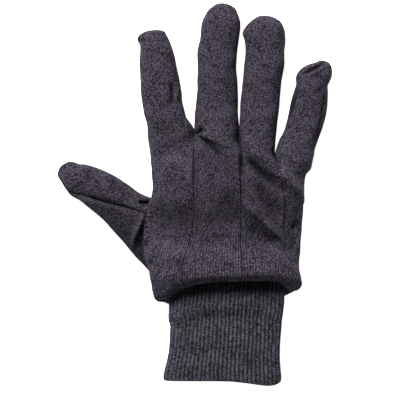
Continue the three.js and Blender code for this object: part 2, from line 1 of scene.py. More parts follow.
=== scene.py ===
"""A knit-wrist cotton jersey work glove, lying palm down with its back up.

Every cut piece of the glove starts as a flat grid of cloth whose vertices are moved to their place on the
hand. Folds and wrinkles then lift or sink it, its sewn edges turn in, and it gets the thickness of the
cloth. X runs across the hand with the thumb at -X, Y towards the fingertips and Z up. Sizes are in metres.
Tables hold shares of the named sizes.
"""
import math

import bpy
import numpy as np
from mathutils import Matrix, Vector


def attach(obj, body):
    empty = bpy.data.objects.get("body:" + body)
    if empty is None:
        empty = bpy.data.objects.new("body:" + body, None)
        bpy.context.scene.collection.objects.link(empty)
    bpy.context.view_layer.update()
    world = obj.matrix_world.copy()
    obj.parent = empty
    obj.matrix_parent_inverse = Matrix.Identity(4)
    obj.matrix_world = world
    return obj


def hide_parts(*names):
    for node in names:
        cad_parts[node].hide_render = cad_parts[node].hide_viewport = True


bl_info = {
    "name": "Cotton Work Glove",
    "version": (1, 0, 0),
    "blender": (4, 5, 0),
    "location": "3D View > Sidebar > Glove",
    "description": "Makes a cotton jersey work glove with a knit wrist, lying palm down",
    "category": "Add Mesh",
}

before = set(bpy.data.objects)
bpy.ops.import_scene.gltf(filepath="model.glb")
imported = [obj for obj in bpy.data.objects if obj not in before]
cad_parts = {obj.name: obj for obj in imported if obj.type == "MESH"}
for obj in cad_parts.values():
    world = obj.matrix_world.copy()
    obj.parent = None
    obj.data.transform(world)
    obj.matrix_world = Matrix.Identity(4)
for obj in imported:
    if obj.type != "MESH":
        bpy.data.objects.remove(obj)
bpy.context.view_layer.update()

# Where the middle of the wrist seam's line lies in the frame
GLOVE_ORIGIN = (0.020612, -0.066237)

# Shape of the sections: 2 is an ellipse, more is squarer. UNDER_FLAT widens the flat of the underside.
BODY_ROUND = 2.5
FINGER_ROUND = 2.3
CUFF_ROUND = 2.6
UNDER_ROUND = 3.0
UNDER_FLAT = 1.07

# How far the roll over the wrist hangs, as a share of the way from the body to the wrist
ROLL_ROUND = 0.5

# The thumb's root across and up the body, the height of the thumb's side line, and where its underside starts
# to rise to the tip, as shares
THUMB_ACROSS = -0.885
THUMB_UP = 0.376
THUMB_SIDE = 0.47
THUMB_TIP = 0.88

# The share of the palm's first strip that ends at the thumb, and how far below and above the thumb the
# palm's edge comes down to the ground
NOTCH_SHARE = 0.5
BELOW_THUMB = 0.1
ABOVE_THUMB = 0.17

# The last shares of the body over which it takes the height of the fingers and its columns spread for them,
# and the first share of a finger over which it settles on its own line
FORK_SHARE = 0.14
SPREAD_SHARE = 0.275
SETTLE_SHARE = 0.2

# Clearances between the pieces
CUFF_CLEARANCE = 0.00075
NOTCH_CLEARANCE = 0.0008
THUMB_CLEARANCE = 0.0012
SEAM_CLEARANCE = 0.00006

# Grid of the cloth
BACK_SPACING = 0.0007
BACK_COLUMNS = 54
PALM_COLUMNS = 26
THUMB_COLUMNS = 44
EDGE_SHARES = (0.003, 0.008, 0.015, 0.025)
LINE_SAMPLES = 1600
RIB_COLUMNS = 6
CUFF_ROWS = 84
HEM_ROWS = 5

# Places nearer than TINY count as one, and NOT_ZERO keeps a division by nothing away
TINY = 1e-6
NOT_ZERO = 1e-12

# Points nearer than this are joined, and edges sharper than this stay sharp
MERGE_REACH = 0.000005
SMOOTH_ANGLE = math.radians(60)

# The last share of a finger's length that rounds off, and how squarely
FINGER_CAP = 0.02
TIP_ROUND = 4

# The row from which the palm's strips are sewn at both sides of a finger
SIDES_SEWN = 1.05

# Folds: the share of a line over which its ends fade, how wide their painted shade is, and how far up the
# cloth has to look to take them
FOLD_END = 0.3
PAINTED_SHADE_WIDTH = 0.8
FACING = (0.1, 0.6)

# Wrinkles: their wavelengths with how strong each is, how those spread, and how they calm down by a seam
WRINKLES = ((0.03, 1.0), (0.012, 0.5))
WAVE_SPREAD = (0.7, 1.5)
WAVES = 22
SEED = 7
CALM_REACH = 0.003
CALM_SHARE = 0.3

# How much further the body's edge over the thumb turns in, and how wide a seam's line of painted shade is
# where its shade is 0 and where it is 1, as shares of its usual width
EDGE_TURN = 1.6
SEAM_LINE = (0.6, 1.2)

# The wrist: how sharp its ribs are, what is left of them at the hem, where that starts, and how much of its
# waves shows inside
RIB_SHARP = 0.8
HEM_RIBS = 0.3
HEM_START = 0.97
INNER_WAVES = 0.5


def table(columns, rows):
    """A table as one array for each named column."""
    return dict(zip(columns.split(), np.array(rows).T))


def fold(half, rise, line, sharp=2, lean=0, ends=0.25, dark=0):
    """A fold along a line of places on the glove, given as shares of half the palm's width and of the
    body's length. half is its half width and rise how far it lifts, both as shares of the body's depth.
    sharp is 2 for a round fold and 1 for a crisp one, lean makes it wider on the right of its line than on
    the left, ends is what is left of it at its two ends, and dark is how much painted shade it gives its
    cloth, for the light of the room that it hides from it."""
    return {"half": half, "rise": rise, "line": line, "sharp": sharp, "lean": lean, "ends": ends,
            "dark": dark}


# The body's sides and the seams between its strips up its length, as shares of half the palm's width
OUTLINE = table("along left seam1 seam2 seam3 right", (
    (0.0, -0.915, -0.537, 0.219, 0.869, 1.008),
    (0.12, -0.955, -0.533, 0.219, 0.873, 0.97),
    (0.25, -1.037, -0.47, 0.219, 0.842, 0.98),
    (0.4, -1.05, -0.41, 0.219, 0.808, 1.003),
    (0.55, -1.004, -0.402, 0.215, 0.798, 1.019),
    (0.7, -0.935, -0.402, 0.205, 0.788, 1.035),
    (0.85, -0.94, -0.402, 0.195, 0.721, 1.048),
    (0.89, -0.951, -0.4, 0.194, 0.706, 1.07),
    (0.93, -0.962, -0.397, 0.192, 0.689, 1.13),
    (1.0, -0.981, -0.39, 0.19, 0.648, 1.158),
))

# Heights of the body's crown and sides up its length, and how far its left side lies on the thumb
HEIGHTS = table("along top left over_thumb right", (
    (0.0, 1.0, 0.46, 0, 0.41),
    (0.12, 1.02, 0.46, 1, 0.4),
    (0.25, 0.98, 0.44, 1, 0.38),
    (0.4, 0.95, 0.42, 1, 0.36),
    (0.55, 0.93, 0.4, 1, 0.34),
    (0.7, 0.94, 0.36, 0.3, 0.31),
    (0.85, 0.88, 0.3, 0, 0.28),
    (1.0, 0.7, 0.25, 0, 0.25),
))

# The edges of the strips, and how far up the body they reach the finger roots, as shares of its length
EDGES = ("left", "seam1", "seam2", "seam3", "right")
ROOT_REACH = {"left": 0.979, "seam1": 1.064, "seam2": 1.02, "seam3": 0.87, "right": 0.884}

# Where the body's cloth turns into the roll, on top and under it, as shares of the roll's reach
LIP = table("along top under", (
    (-1.0, -0.6, -0.75),
    (-0.85, -0.36, -1.0),
    (-0.73, -0.03, -1.05),
    (-0.6, 0.3, -0.9),
    (-0.45, 0.52, -0.8),
    (-0.2, 0.65, -0.66),
    (0.1, 0.71, -0.58),
    (0.4, 0.74, -0.5),
    (0.7, 0.68, -0.58),
    (0.87, 0.36, -0.32),
    (1.0, 0.0, 0.0),
))

# Heights of a finger's section up its length, as shares of its depth
FINGER_HEIGHTS = table("along crown side under", (
    (0.0, 1.3, 0.47, 0),
    (0.12, 1.14, 0.47, 0),
    (0.3, 1.03, 0.47, 0),
    (0.6, 1.0, 0.47, 0),
    (0.84, 0.96, 0.47, 0),
    (0.92, 0.88, 0.47, 0.03),
    (0.97, 0.74, 0.47, 0.15),
    (1.0, 0.47, 0.47, 0.47),
))

# How each finger leans, and its width and the shift of its middle line up its length, as shares of its width
FINGERS = (
    {"name": "index", "lean": -0.155, "rows": table("along wide shift", (
        (0.0, 1.22, 0),
        (0.15, 1.022, -0.054),
        (0.25, 1.015, -0.081),
        (0.33, 1.004, -0.088),
        (0.44, 1.031, -0.083),
        (0.55, 0.988, -0.071),
        (0.75, 0.894, -0.049),
        (0.88, 0.75, -0.046),
        (0.94, 0.742, -0.1),
        (0.97, 0.64, -0.087),
        (1.0, 0.3, -0.1),
    ))},
    {"name": "middle", "lean": 0.035, "rows": table("along wide shift", (
        (0.0, 1.12, 0),
        (0.155, 1.062, -0.02),
        (0.334, 1.01, -0.013),
        (0.44, 0.969, -0.03),
        (0.529, 0.946, -0.049),
        (0.63, 0.991, -0.055),
        (0.723, 0.961, -0.016),
        (0.858, 0.93, 0.019),
        (0.933, 0.731, 0.031),
        (0.965, 0.554, 0.051),
        (1.0, 0.2, 0.03),
    ))},
    {"name": "ring", "lean": 0.062, "rows": table("along wide shift", (
        (0.0, 0.95, 0),
        (0.192, 0.935, 0.013),
        (0.377, 0.969, 0.018),
        (0.46, 0.973, 0.032),
        (0.554, 0.963, 0.043),
        (0.65, 0.988, 0.059),
        (0.747, 0.969, 0.053),
        (0.81, 1.023, 0.045),
        (0.864, 1.062, 0.014),
        (0.9, 0.996, 0.025),
        (0.938, 0.84, 0.042),
        (0.965, 0.664, 0.055),
        (1.0, 0.28, 0.034),
    ))},
    {"name": "little", "lean": 0.262, "rows": table("along wide shift", (
        (0.0, 1.08, 0),
        (0.139, 1.018, -0.019),
        (0.24, 0.966, 0.02),
        (0.333, 0.956, 0.031),
        (0.43, 0.978, 0.038),
        (0.522, 0.994, 0.028),
        (0.62, 0.964, 0.013),
        (0.717, 0.878, -0.018),
        (0.78, 0.876, -0.074),
        (0.82, 0.886, -0.061),
        (0.86, 0.853, -0.031),
        (0.9, 0.753, 0.011),
        (0.93, 0.624, 0.051),
        (0.96, 0.445, 0.106),
        (1.0, 0.2, 0.12),
    ))},
)

# The thumb's middle line, width and height up its length, how its rows turn, and where its seam lies round
# it, in degrees
THUMB = table("along reach rise wide high turn seam", (
    (0.0, 0, 0, 2.04, 1, 90, 54),
    (0.06, 0.056, 0.01, 1.96, 1, 88, 56),
    (0.14, 0.14, 0.104, 1.745, 1, 84, 61),
    (0.22, 0.223, 0.203, 1.564, 1, 81, 66),
    (0.3, 0.304, 0.328, 1.355, 1.01, 76, 76),
    (0.38, 0.389, 0.444, 1.215, 1.02, 70, 88),
    (0.46, 0.473, 0.539, 1.147, 1.01, 65, 100),
    (0.55, 0.568, 0.645, 1.078, 1, 60, 112),
    (0.7, 0.703, 0.778, 0.98, 0.98, 59, 132),
    (0.83, 0.83, 0.86, 0.882, 0.93, 63, 150),
    (0.88, 0.88, 0.896, 0.744, 0.88, 64, 158),
    (0.93, 0.925, 0.95, 0.64, 0.8, 64, 165),
    (0.97, 0.965, 0.99, 0.52, 0.66, 63, 172),
    (1.0, 1.022, 1.006, 0.3, 0.47, 62, 180),
))

# Width, lift, height and sideways shift of the wrist, from its sewn end to its mouth
CUFF = table("along wide lift high shift", (
    (0.0, 1.026, 1.0, 0.92, 0.021),
    (0.25, 1.014, 0.85, 1.0, 0.021),
    (0.34, 1.007, 0.75, 0.97, 0.0145),
    (0.42, 0.985, 0.6, 0.94, 0.0165),
    (0.5, 0.984, 0.4, 0.95, 0.013),
    (0.6, 0.978, 0.2, 0.97, 0.007),
    (0.7, 0.981, 0.08, 0.99, 0.001),
    (0.8, 0.999, 0, 1.0, -0.007),
    (0.9, 1.026, 0, 1.0, -0.0135),
    (0.97, 1.043, 0, 0.96, -0.016),
    (1.0, 1.035, 0, 0.92, -0.017),
))

# How far the mouth hangs past the wrist's length, across the hand, as a share of that length
MOUTH = table("along drop", (
    (-1.0, -0.018),
    (-0.6, -0.02),
    (0.1, -0.018),
    (0.4, 0.0),
    (0.75, 0.03),
    (0.9, 0.028),
    (1.0, 0.0),
))

# How much painted shade each seam's line gets up the body and on along the fingers
SIDE_PAINTED_SHADE = table("along shade", ((0, 0.2), (1, 0.4), (2, 0.5)))
SEAM_PAINTED_SHADES = {
    "left": SIDE_PAINTED_SHADE,
    "seam1": table("along shade", (
        (0, 0.4), (0.5, 0.3), (0.65, 0.6), (0.8, 1.2), (1.0, 1.6), (1.15, 0.9), (2, 0.5))),
    "seam2": table("along shade", (
        (0, 0.4), (0.3, 0.5), (0.55, 0.8), (0.75, 1.3), (0.9, 1.9), (1.1, 1.9), (1.3, 0.8), (2, 0.5))),
    "seam3": table("along shade", (
        (0, 0.15), (0.33, 0.3), (0.48, 1.1), (0.62, 1.1), (0.72, 0.5), (0.85, 0.1), (0.93, 1.2), (1.05, 1.8),
        (1.2, 0.8), (2, 0.5))),
    "right": SIDE_PAINTED_SHADE,
}

# Folds of the body and the fingers, and of the thumb, many with painted shade in them
BACK_FOLDS = {
    "fork notch": fold(0.05, -0.12, ((-0.4, 1.06), (-0.335, 1.08), (-0.27, 1.097)), sharp=1.4, dark=1.0),
    "fork ridge": fold(0.1, 0.12, ((-0.366, 1.065), (-0.25, 1.045), (-0.12, 1.005), (0.0, 0.965),
        (0.09, 0.93)), sharp=1.4, lean=-0.45),
    "fork crease": fold(0.06, -0.12, ((-0.336, 1.035), (-0.25, 1.0), (-0.15, 0.962), (-0.05, 0.922),
        (0.03, 0.892)), sharp=1.4, lean=0.3, dark=0.75),
    "ring ridge": fold(0.13, 0.2, ((0.209, 0.96), (0.34, 0.92), (0.471, 0.885), (0.6, 0.838), (0.732, 0.788),
        (0.889, 0.684), (0.99, 0.606)), lean=-0.2, ends=0.4),
    "ring hollow": fold(0.1, -0.17, ((0.24, 0.94), (0.3, 0.902), (0.39, 0.855), (0.48, 0.805), (0.63, 0.735),
        (0.74, 0.68)), ends=0.35, dark=0.85),
    "knuckle hollow": fold(0.15, -0.1, ((0.36, 0.73), (0.5, 0.65), (0.641, 0.55), (0.785, 0.44)), lean=-0.3,
        dark=0.4),
    "side ridge": fold(0.09, 0.145, ((0.183, 0.612), (0.34, 0.544), (0.503, 0.466), (0.615, 0.415),
        (0.719, 0.364), (0.811, 0.32)), sharp=1.45),
    "side hollow": fold(0.16, -0.126, ((0.288, 0.442), (0.445, 0.374), (0.602, 0.32), (0.772, 0.286))),
    "seam hollow": fold(0.22, -0.06, ((0.13, 0.6), (0.13, 0.5)), ends=1, dark=0.35),
    "left hollow": fold(0.28, -0.05, ((-0.9, 0.53), (-0.7, 0.49), (-0.45, 0.49)), ends=0.8, dark=0.42),
    "index hollow": fold(0.35, -0.04, ((-0.85, 1.08), (-0.65, 1.06), (-0.5, 1.02)), ends=0.8, dark=0.35),
    "middle hollow": fold(0.28, -0.04, ((-0.25, 0.9), (0.0, 0.86), (0.2, 0.83)), ends=0.8, dark=0.3),
    "waist valley": fold(0.5, -0.27, ((-1.05, 0.37), (-0.64, 0.345), (-0.248, 0.325), (0.078, 0.315),
        (0.34, 0.31), (0.9, 0.28)), lean=-0.5, ends=0.6),
    "waist bulge": fold(0.22, 0.12, ((-1.0, 0.08), (-0.31, 0.1), (0.34, 0.1), (1.0, 0.09)), ends=0.5),
    "upper right dent": fold(0.1, -0.06, ((1.05, 0.425), (0.9, 0.44))),
    "lower right dent": fold(0.08, -0.05, ((1.0, 0.187), (0.9, 0.19))),
    "left dent": fold(0.08, -0.06, ((-0.97, 0.21), (-0.95, 0.15))),
    "lobe ridge": fold(0.04, 0.04, ((0.68, 0.048), (0.85, 0.041), (0.94, 0.017)), sharp=1.3),
    "lobe crease": fold(0.05, -0.06, ((0.693, 0.014), (0.915, -0.007)), sharp=1.3),
    "index crease": fold(0.035, -0.06, ((-0.668, 1.4), (-0.675, 1.335), (-0.69, 1.265)), sharp=1.3, ends=0.6,
        dark=0.9),
    "index ridge": fold(0.05, 0.03, ((-0.6, 1.387), (-0.64, 1.292))),
    "index corner": fold(0.08, -0.06, ((-1.08, 1.68), (-1.05, 1.705))),
    "little slit": fold(0.03, -0.06, ((1.037, 1.472), (1.125, 1.489), (1.216, 1.516), (1.31, 1.547)),
        sharp=1.3, ends=0.7, dark=0.9),
    "little flap": fold(0.04, 0.04, ((1.0, 1.472), (1.11, 1.512), (1.2, 1.535), (1.295, 1.56))),
    "little lip": fold(0.045, 0.04, ((1.059, 1.452), (1.14, 1.465), (1.23, 1.49), (1.308, 1.52))),
    "little crease": fold(0.04, -0.05, ((1.203, 1.343), (1.321, 1.387)), sharp=1.3, dark=0.5),
    "little left seam": fold(0.045, -0.05, ((0.96, 1.387), (0.9, 1.25), (0.82, 1.14)), sharp=1.3, dark=0.8),
    "little right seam": fold(0.05, -0.06, ((1.33, 1.34), (1.27, 1.16), (1.15, 0.95)), sharp=1.3, dark=0.6),
    "ring slot": fold(0.06, -0.07, ((0.64, 0.94), (0.66, 0.9), (0.69, 0.86)), sharp=1.5, ends=0.6, dark=1.0),
    "seam pull": fold(0.05, -0.08, ((0.18, 1.12), (0.195, 1.02), (0.23, 0.9), (0.235, 0.78)), sharp=1.5,
        ends=0.5, dark=0.85),
}
THUMB_FOLDS = {
    "tip dent": fold(0.12, -0.07, ((-1.95, 0.72), (-1.88, 0.67), (-1.82, 0.64))),
    "seam crease": fold(0.045, -0.07, ((-2.029, 0.663), (-1.931, 0.654), (-1.801, 0.637), (-1.67, 0.616),
        (-1.491, 0.595), (-1.36, 0.574), (-1.229, 0.558), (-1.066, 0.527)), sharp=1.3),
    "seam ridge": fold(0.05, 0.03, ((-1.67, 0.59), (-1.491, 0.567), (-1.36, 0.546), (-1.2, 0.52))),
    "web ridge": fold(0.055, 0.13, ((-0.968, 0.592), (-1.05, 0.5), (-1.11, 0.42), (-1.177, 0.333),
        (-1.204, 0.279)), sharp=1.5),
    "web hollow": fold(0.05, -0.06, ((-1.1, 0.37), (-1.125, 0.3)), dark=0.6),
    "edge valley": fold(0.07, -0.08, ((-0.97, 0.6), (-1.035, 0.52), (-1.065, 0.4), (-1.04, 0.24),
        (-0.975, 0.13)), sharp=1.6, ends=0.6, dark=0.4),
    "lower web hollow": fold(0.07, -0.06, ((-1.0, 0.19), (-0.95, 0.11)), dark=0.6),
    "palm slope": fold(0.5, -0.04, ((-1.6, 0.5), (-1.43, 0.37), (-1.26, 0.26), (-1.06, 0.13)), ends=0.8,
        dark=0.6),
    "root crease": fold(0.055, -0.13, ((-1.125, 0.598), (-1.05, 0.588), (-0.95, 0.592)), dark=0.85),
}

# How far the wrist's top bulges and sinks along it, and how much painted shade the grooves between its ribs
# get
CUFF_WAVES = table("along rise groove", (
    (0.0, 0.0, 0.25),
    (0.25, -0.02, 0.2),
    (0.36, 0.06, 0.12),
    (0.45, -0.055, 0.25),
    (0.54, -0.01, 0.32),
    (0.64, 0.03, 0.36),
    (0.76, 0.0, 0.36),
    (0.9, 0.0, 0.38),
    (1.0, 0.0, 0.45),
))

# Grains of shade in the yarn: their size across and along the cloth, how fine they are and where they start
GRAINS = {
    "fibres": {"across": 0.0013, "along": 0.00044, "detail": 2.0, "offset": 3.1},
    "streaks": {"across": 0.0045, "along": 0.0007, "detail": 1.0, "offset": 71.3},
    "clouds": {"across": 0.013, "along": 0.009, "detail": 2.0, "offset": 11.7},
    "red": {"across": 0.0034, "along": 0.0014, "detail": 2.0, "offset": 23.9},
    "grey": {"across": 0.0011, "along": 0.0008, "detail": 0.0, "offset": 37.3},
    "fuzz": {"across": 0.0006, "along": 0.0004, "detail": 3.0, "offset": 51.0},
}
GRAIN_ROUGHNESS = 0.6

# How far each stitch, the clouds and the streaks shift the shade of the fibres, and where shades follow on
STITCH_SHIFT = 0.27
CLOUD_SHIFT = 0.28
STREAK_SHIFT = 0.3
SHADE_STOPS = (0.39, 0.5, 0.59)
TINT_STOPS = (0.46, 0.66)
PALE_STOPS = (0.7, 0.82)
JERSEY_TINT = 0.25
RIB_TINT = 0.3
PALE_SHARE = 0.5

# Stitches: how their rows slant, how squarely their columns round off, the painted light left between
# them, the height over which it comes back, and the even painted shade where no stitches show
STITCH_SLANT = 1.4
STITCH_SQUARE = 3.0
JERSEY_PAINTED_GAP_LIGHT = 0.08
RIB_PAINTED_GAP_LIGHT = 0.35
LIT_HEIGHT = 0.6
EVEN_PAINTED_SHADE = (0.72, 0.72, 0.72, 1)

# Painted light left in the deepest groove, and the fine relief of the cloth
PAINTED_GROOVE_LIGHT = 0.1
FUZZ_SHARE = 0.6
RELIEF = {"Strength": 0.8, "Distance": 0.0004}
CLOTH_LOOK = {"Roughness": 0.95, "Specular IOR Level": 0.05, "Sheen Weight": 0.04, "Sheen Roughness": 0.5,
              "Sheen Tint": (0.5, 0.5, 0.6, 1)}

# Where the jersey's columns of stitches show most: the middle of the band above the wrist, its half width,
# and how much they show elsewhere
GATHER_MIDDLE = 0.021
GATHER_HALF = 0.011
GATHER_ELSEWHERE = 0.3

# Light, ground and view
WHITE = (1, 1, 1, 1)
GROUND_LOOK = {"Base Color": (0.9, 0.9, 0.9, 1), "Roughness": 1.0, "Specular IOR Level": 0.0,
               "Emission Color": WHITE, "Emission Strength": 1.0}
GROUND_SIZE = 6
GROUND_PLACE = (0, 0, -0.0004)
ROOM_LIGHT = 0.1
LAMP_PLACE = (-0.58, 1.3, 1.4)
LAMP_POWER = 90
LAMP_SIZE = 0.8
VIEW_MIDDLE = (0.0096, -0.0103)
VIEW_WIDTH = 0.2829
VIEW_PLANE = 0.012
CAMERA_HEIGHT = 1.2
SENSOR = 36.0


def length(name, about, default):
    """A size that a user can change."""
    return bpy.props.FloatProperty(name=name, description=about, default=default, unit="LENGTH", precision=5)


def colour(name, about, default):
    """A colour that a user can change."""
    return bpy.props.FloatVectorProperty(
        name=name, description=about, default=default, subtype="COLOR", size=3, min=0, max=1)


class GloveSizes(bpy.types.PropertyGroup):
    """Sizes of the glove"""
    palm_width: length("Palm width", "Width across the palm", 0.104)
    body_length: length("Body length", "From the roll over the wrist to the finger roots", 0.1)
    body_depth: length("Body depth", "Height of the body's crown", 0.032)
    finger_depth: length("Finger depth", "Height of a finger", 0.017)
    index_length: length("Index length", "From root to tip", 0.0762)
    index_width: length("Index width", "Width of the flat finger", 0.026)
    middle_length: length("Middle length", "From root to tip", 0.0914)
    middle_width: length("Middle width", "Width of the flat finger", 0.027)
    ring_length: length("Ring length", "From root to tip", 0.0926)
    ring_width: length("Ring width", "Width of the flat finger", 0.0265)
    little_length: length("Little length", "From root to tip", 0.0718)
    little_width: length("Little width", "Width of the flat finger", 0.0245)
    thumb_reach: length("Thumb reach", "How far the thumb stands out sideways", 0.065)
    thumb_rise: length("Thumb rise", "How far the thumb's tip lies above its root", 0.044)
    thumb_width: length("Thumb width", "Width of the flat thumb", 0.025)
    thumb_depth: length("Thumb depth", "Height of the thumb", 0.0164)
    thumb_root: length("Thumb root", "Width of the thumb where it is sewn on", 0.051)
    cuff_length: length("Wrist length", "From the roll to the mouth", 0.063)
    cuff_width: length("Wrist width", "Width of the flat wrist", 0.0776)
    cuff_depth: length("Wrist depth", "Height of the wrist", 0.017)
    cuff_lift: length("Wrist lift", "How far the sewn end of the wrist lies off the ground", 0.0048)
    roll_reach: length("Roll reach", "How far the cloth rolls over the wrist", 0.01)
    seam_allowance: length("Seam allowance", "Width of cloth behind the wrist seam", 0.0035)
    jersey_wall: length("Jersey thickness", "Thickness of the jersey", 0.0012)
    rib_wall: length("Rib thickness", "Thickness of the double rib knit", 0.0024)
    rib_pitch: length("Rib pitch", "From one rib to the next", 0.00275)
    rib_relief: length("Rib relief", "Depth of the grooves between ribs", 0.0008)
    wale_pitch: length("Wale pitch", "From one column of stitches to the next", 0.0019)
    course_pitch: length("Course pitch", "From one row of stitches to the next", 0.001)
    seam_round: length("Seam rounding", "How far from a seam the cloth starts to turn in", 0.0007)
    # The dark line along a seam is painted shade
    seam_painted_shade: length("Seam shade", "Half the width of the dark line along a seam", 0.00055)
    thumb_edge: length("Edge over the thumb", "How far from its edge the body turns down to the thumb", 0.004)
    wrinkle: length("Wrinkles", "Height of the soft unevenness of the cloth", 0.0004)
    puff: length("Puff", "How far the cloth puffs out between its seams", 0.0005)


class GloveColours(bpy.types.PropertyGroup):
    """Colours of the glove"""
    charcoal: colour("Charcoal", "Darkest fibres of the jersey", (0.0058, 0.0055, 0.0082))
    slate: colour("Slate", "Most fibres of the jersey", (0.024, 0.022, 0.032))
    mist: colour("Mist", "Lighter fibres of the jersey", (0.068, 0.0645, 0.087))
    plum: colour("Plum", "Reddish fibres of the jersey", (0.092, 0.03, 0.054))
    pale: colour("Pale grey", "Palest fibres", (0.18, 0.18, 0.225))
    rib_dark: colour("Rib dark", "Darkest fibres of the rib knit", (0.0097, 0.0097, 0.0135))
    rib_grey: colour("Rib grey", "Most fibres of the rib knit", (0.038, 0.0378, 0.0485))
    rib_light: colour("Rib light", "Lighter fibres of the rib knit", (0.082, 0.0815, 0.1))


def sizes():
    return bpy.context.scene.glove_sizes


def colours():
    return bpy.context.scene.glove_colours


def look(rows, column, at):
    """A smooth value of one column of a table at places along it."""
    places = rows["along"]
    values = rows[column]
    slopes = np.empty_like(values)
    slopes[1:-1] = (values[2:] - values[:-2]) / (places[2:] - places[:-2])
    slopes[0] = (values[1] - values[0]) / (places[1] - places[0])
    slopes[-1] = (values[-1] - values[-2]) / (places[-1] - places[-2])
    k = np.clip(np.searchsorted(places, at) - 1, 0, len(places) - 2)
    span = places[k + 1] - places[k]
    f = np.clip((at - places[k]) / span, 0, 1)
    return (values[k] * (1 + 2 * f) * (1 - f) ** 2 + slopes[k] * span * f * (1 - f) ** 2
            + values[k + 1] * f * f * (3 - 2 * f) + slopes[k + 1] * span * f * f * (f - 1))


def mix(a, b, share):
    """The value a share of the way from a to b."""
    return a + (b - a) * share


def smooth(at, low, high):
    """Rises smoothly from 0 at low to 1 at high."""
    share = np.clip((at - low) / (high - low), 0, 1)
    return share * share * (3 - 2 * share)


def arch(across, roundness):
    """Height share of a round section at a place across it, -1 to 1."""
    return np.maximum(0, 1 - np.abs(across) ** roundness) ** (1 / roundness)


def flat_arch(across):
    """The same for an underside, flat in its middle."""
    return np.minimum(1, UNDER_FLAT * arch(across, UNDER_ROUND))


def cuff_section(along, across, side, outset):
    """Place across and height of a point of the wrist."""
    s = sizes()
    half = look(CUFF, "wide", along) * s.cuff_width / 2
    low = look(CUFF, "lift", along) * s.cuff_lift
    high = low + look(CUFF, "high", along) * s.cuff_depth
    rise = ((high - low) / 2 + outset) * arch(across, CUFF_ROUND)
    z = (low + high) / 2 + np.where(side == "top", rise, -rise)
    return look(CUFF, "shift", along) * s.cuff_width + across * (half + outset), z


def edge_x(name, along):
    """Where an edge of a strip lies across the body."""
    return look(OUTLINE, name, along) * sizes().palm_width / 2


def body_across(x, along):
    """Where a place lies between the body's two sides, -1 to 1."""
    left = edge_x("left", along)
    right = edge_x("right", along)
    return np.clip((2 * x - left - right) / (right - left), -1, 1)


def body_height(across, along, side):
    """Height of the body's top or underside."""
    s = sizes()
    right = look(HEIGHTS, "right", along) * s.body_depth
    free = look(HEIGHTS, "left", along) * s.body_depth
    left = mix(free, s.thumb_depth + THUMB_CLEARANCE, look(HEIGHTS, "over_thumb", along))
    edge = np.where(across > 0, right, left)
    if side == "under":
        return edge * (1 - flat_arch(across))
    return edge + (look(HEIGHTS, "top", along) * s.body_depth - edge) * arch(across, BODY_ROUND)


def roll_at(x, side):
    """The roll at places across: its y, how far it hangs over, and where it meets the wrist."""
    across = body_across(x, 0.0)
    inner_x, inner_z = cuff_section(0.0, across, side, CUFF_CLEARANCE)
    hang = ROLL_ROUND * np.hypot(x - inner_x, body_height(across, 0.0, side) - inner_z)
    return look(LIP, side, across) * sizes().roll_reach + hang, hang, inner_x, inner_z


def notch():
    """The thumb's root: its x, its middle's y, and where on the body's left edge it starts and ends."""
    s = sizes()
    x = THUMB_ACROSS * s.palm_width / 2
    middle = THUMB_UP * s.body_length
    half = s.thumb_root / 2 + NOTCH_CLEARANCE
    start = roll_at(np.array(x), "under")[0]
    reach = ROOT_REACH["left"] * s.body_length - start
    return x, middle, (middle - half - start) / reach, (middle + half - start) / reach


def spread_across(strip, side, along, share):
    """Where a column of a strip lies between the strip's edges."""
    if strip == 0 and side == "under":
        left = edge_x("left", along)
        at = (notch()[0] - left) / (edge_x("seam1", along) - left)
        outer = at * (1 - np.cos(np.minimum(share / NOTCH_SHARE, 1) * math.pi / 2))
        return np.where(share <= NOTCH_SHARE, outer, mix(at, 1, (share - NOTCH_SHARE) / (1 - NOTCH_SHARE)))
    if strip == 0:
        return 1 - np.cos(share * math.pi / 2) + 0 * along
    if strip == len(FINGERS) - 1:
        return np.sin(share * math.pi / 2) + 0 * along
    return share + 0 * along


def beside_thumb(along):
    """1 beside the thumb's root, where the palm lies flat."""
    start, end = notch()[2:]
    return smooth(along, start - BELOW_THUMB, start) * (1 - smooth(along, end, end + ABOVE_THUMB))


def finger_height(side, along, across):
    """Height of a finger's top or underside."""
    depth = sizes().finger_depth
    edge = look(FINGER_HEIGHTS, "side", along) * depth
    if side == "under":
        low = np.maximum(0, look(FINGER_HEIGHTS, "under", along)) * depth
        return edge - (edge - low) * flat_arch(across)
    crown = np.maximum(edge, look(FINGER_HEIGHTS, "crown", along) * depth)
    return edge + (crown - edge) * arch(across, FINGER_ROUND)


def body_points(strip, side, along, share):
    """Points of a strip on the body, from the roll to the finger root."""
    s = sizes()
    left, right = EDGES[strip:strip + 2]
    turned = (1 + np.sin((share - 0.5) * math.pi)) / 2
    q = mix(spread_across(strip, side, along, share), turned, smooth(along, 1 - SPREAD_SHARE, 1))
    x = mix(edge_x(left, along), edge_x(right, along), q)
    start = roll_at(mix(edge_x(left, 0.0), edge_x(right, 0.0), q), side)[0]
    y = mix(start, mix(ROOT_REACH[left], ROOT_REACH[right], q) * s.body_length, along)
    z = body_height(body_across(x, along), along, side)
    if strip == 0 and side == "under":
        z = z * (1 - smooth(share, 0, NOTCH_SHARE) * beside_thumb(along))
    z = mix(z, finger_height(side, 0.0, 2 * q - 1), smooth(along, 1 - FORK_SHARE, 1))
    return np.stack([x, y, z], -1)


def round_tip(along, cap):
    """Rounds the last stretch of a finger's outline to a point."""
    share = np.clip((along - 1 + cap) / cap, 0, 1)
    return np.sqrt(1 - share ** TIP_ROUND)


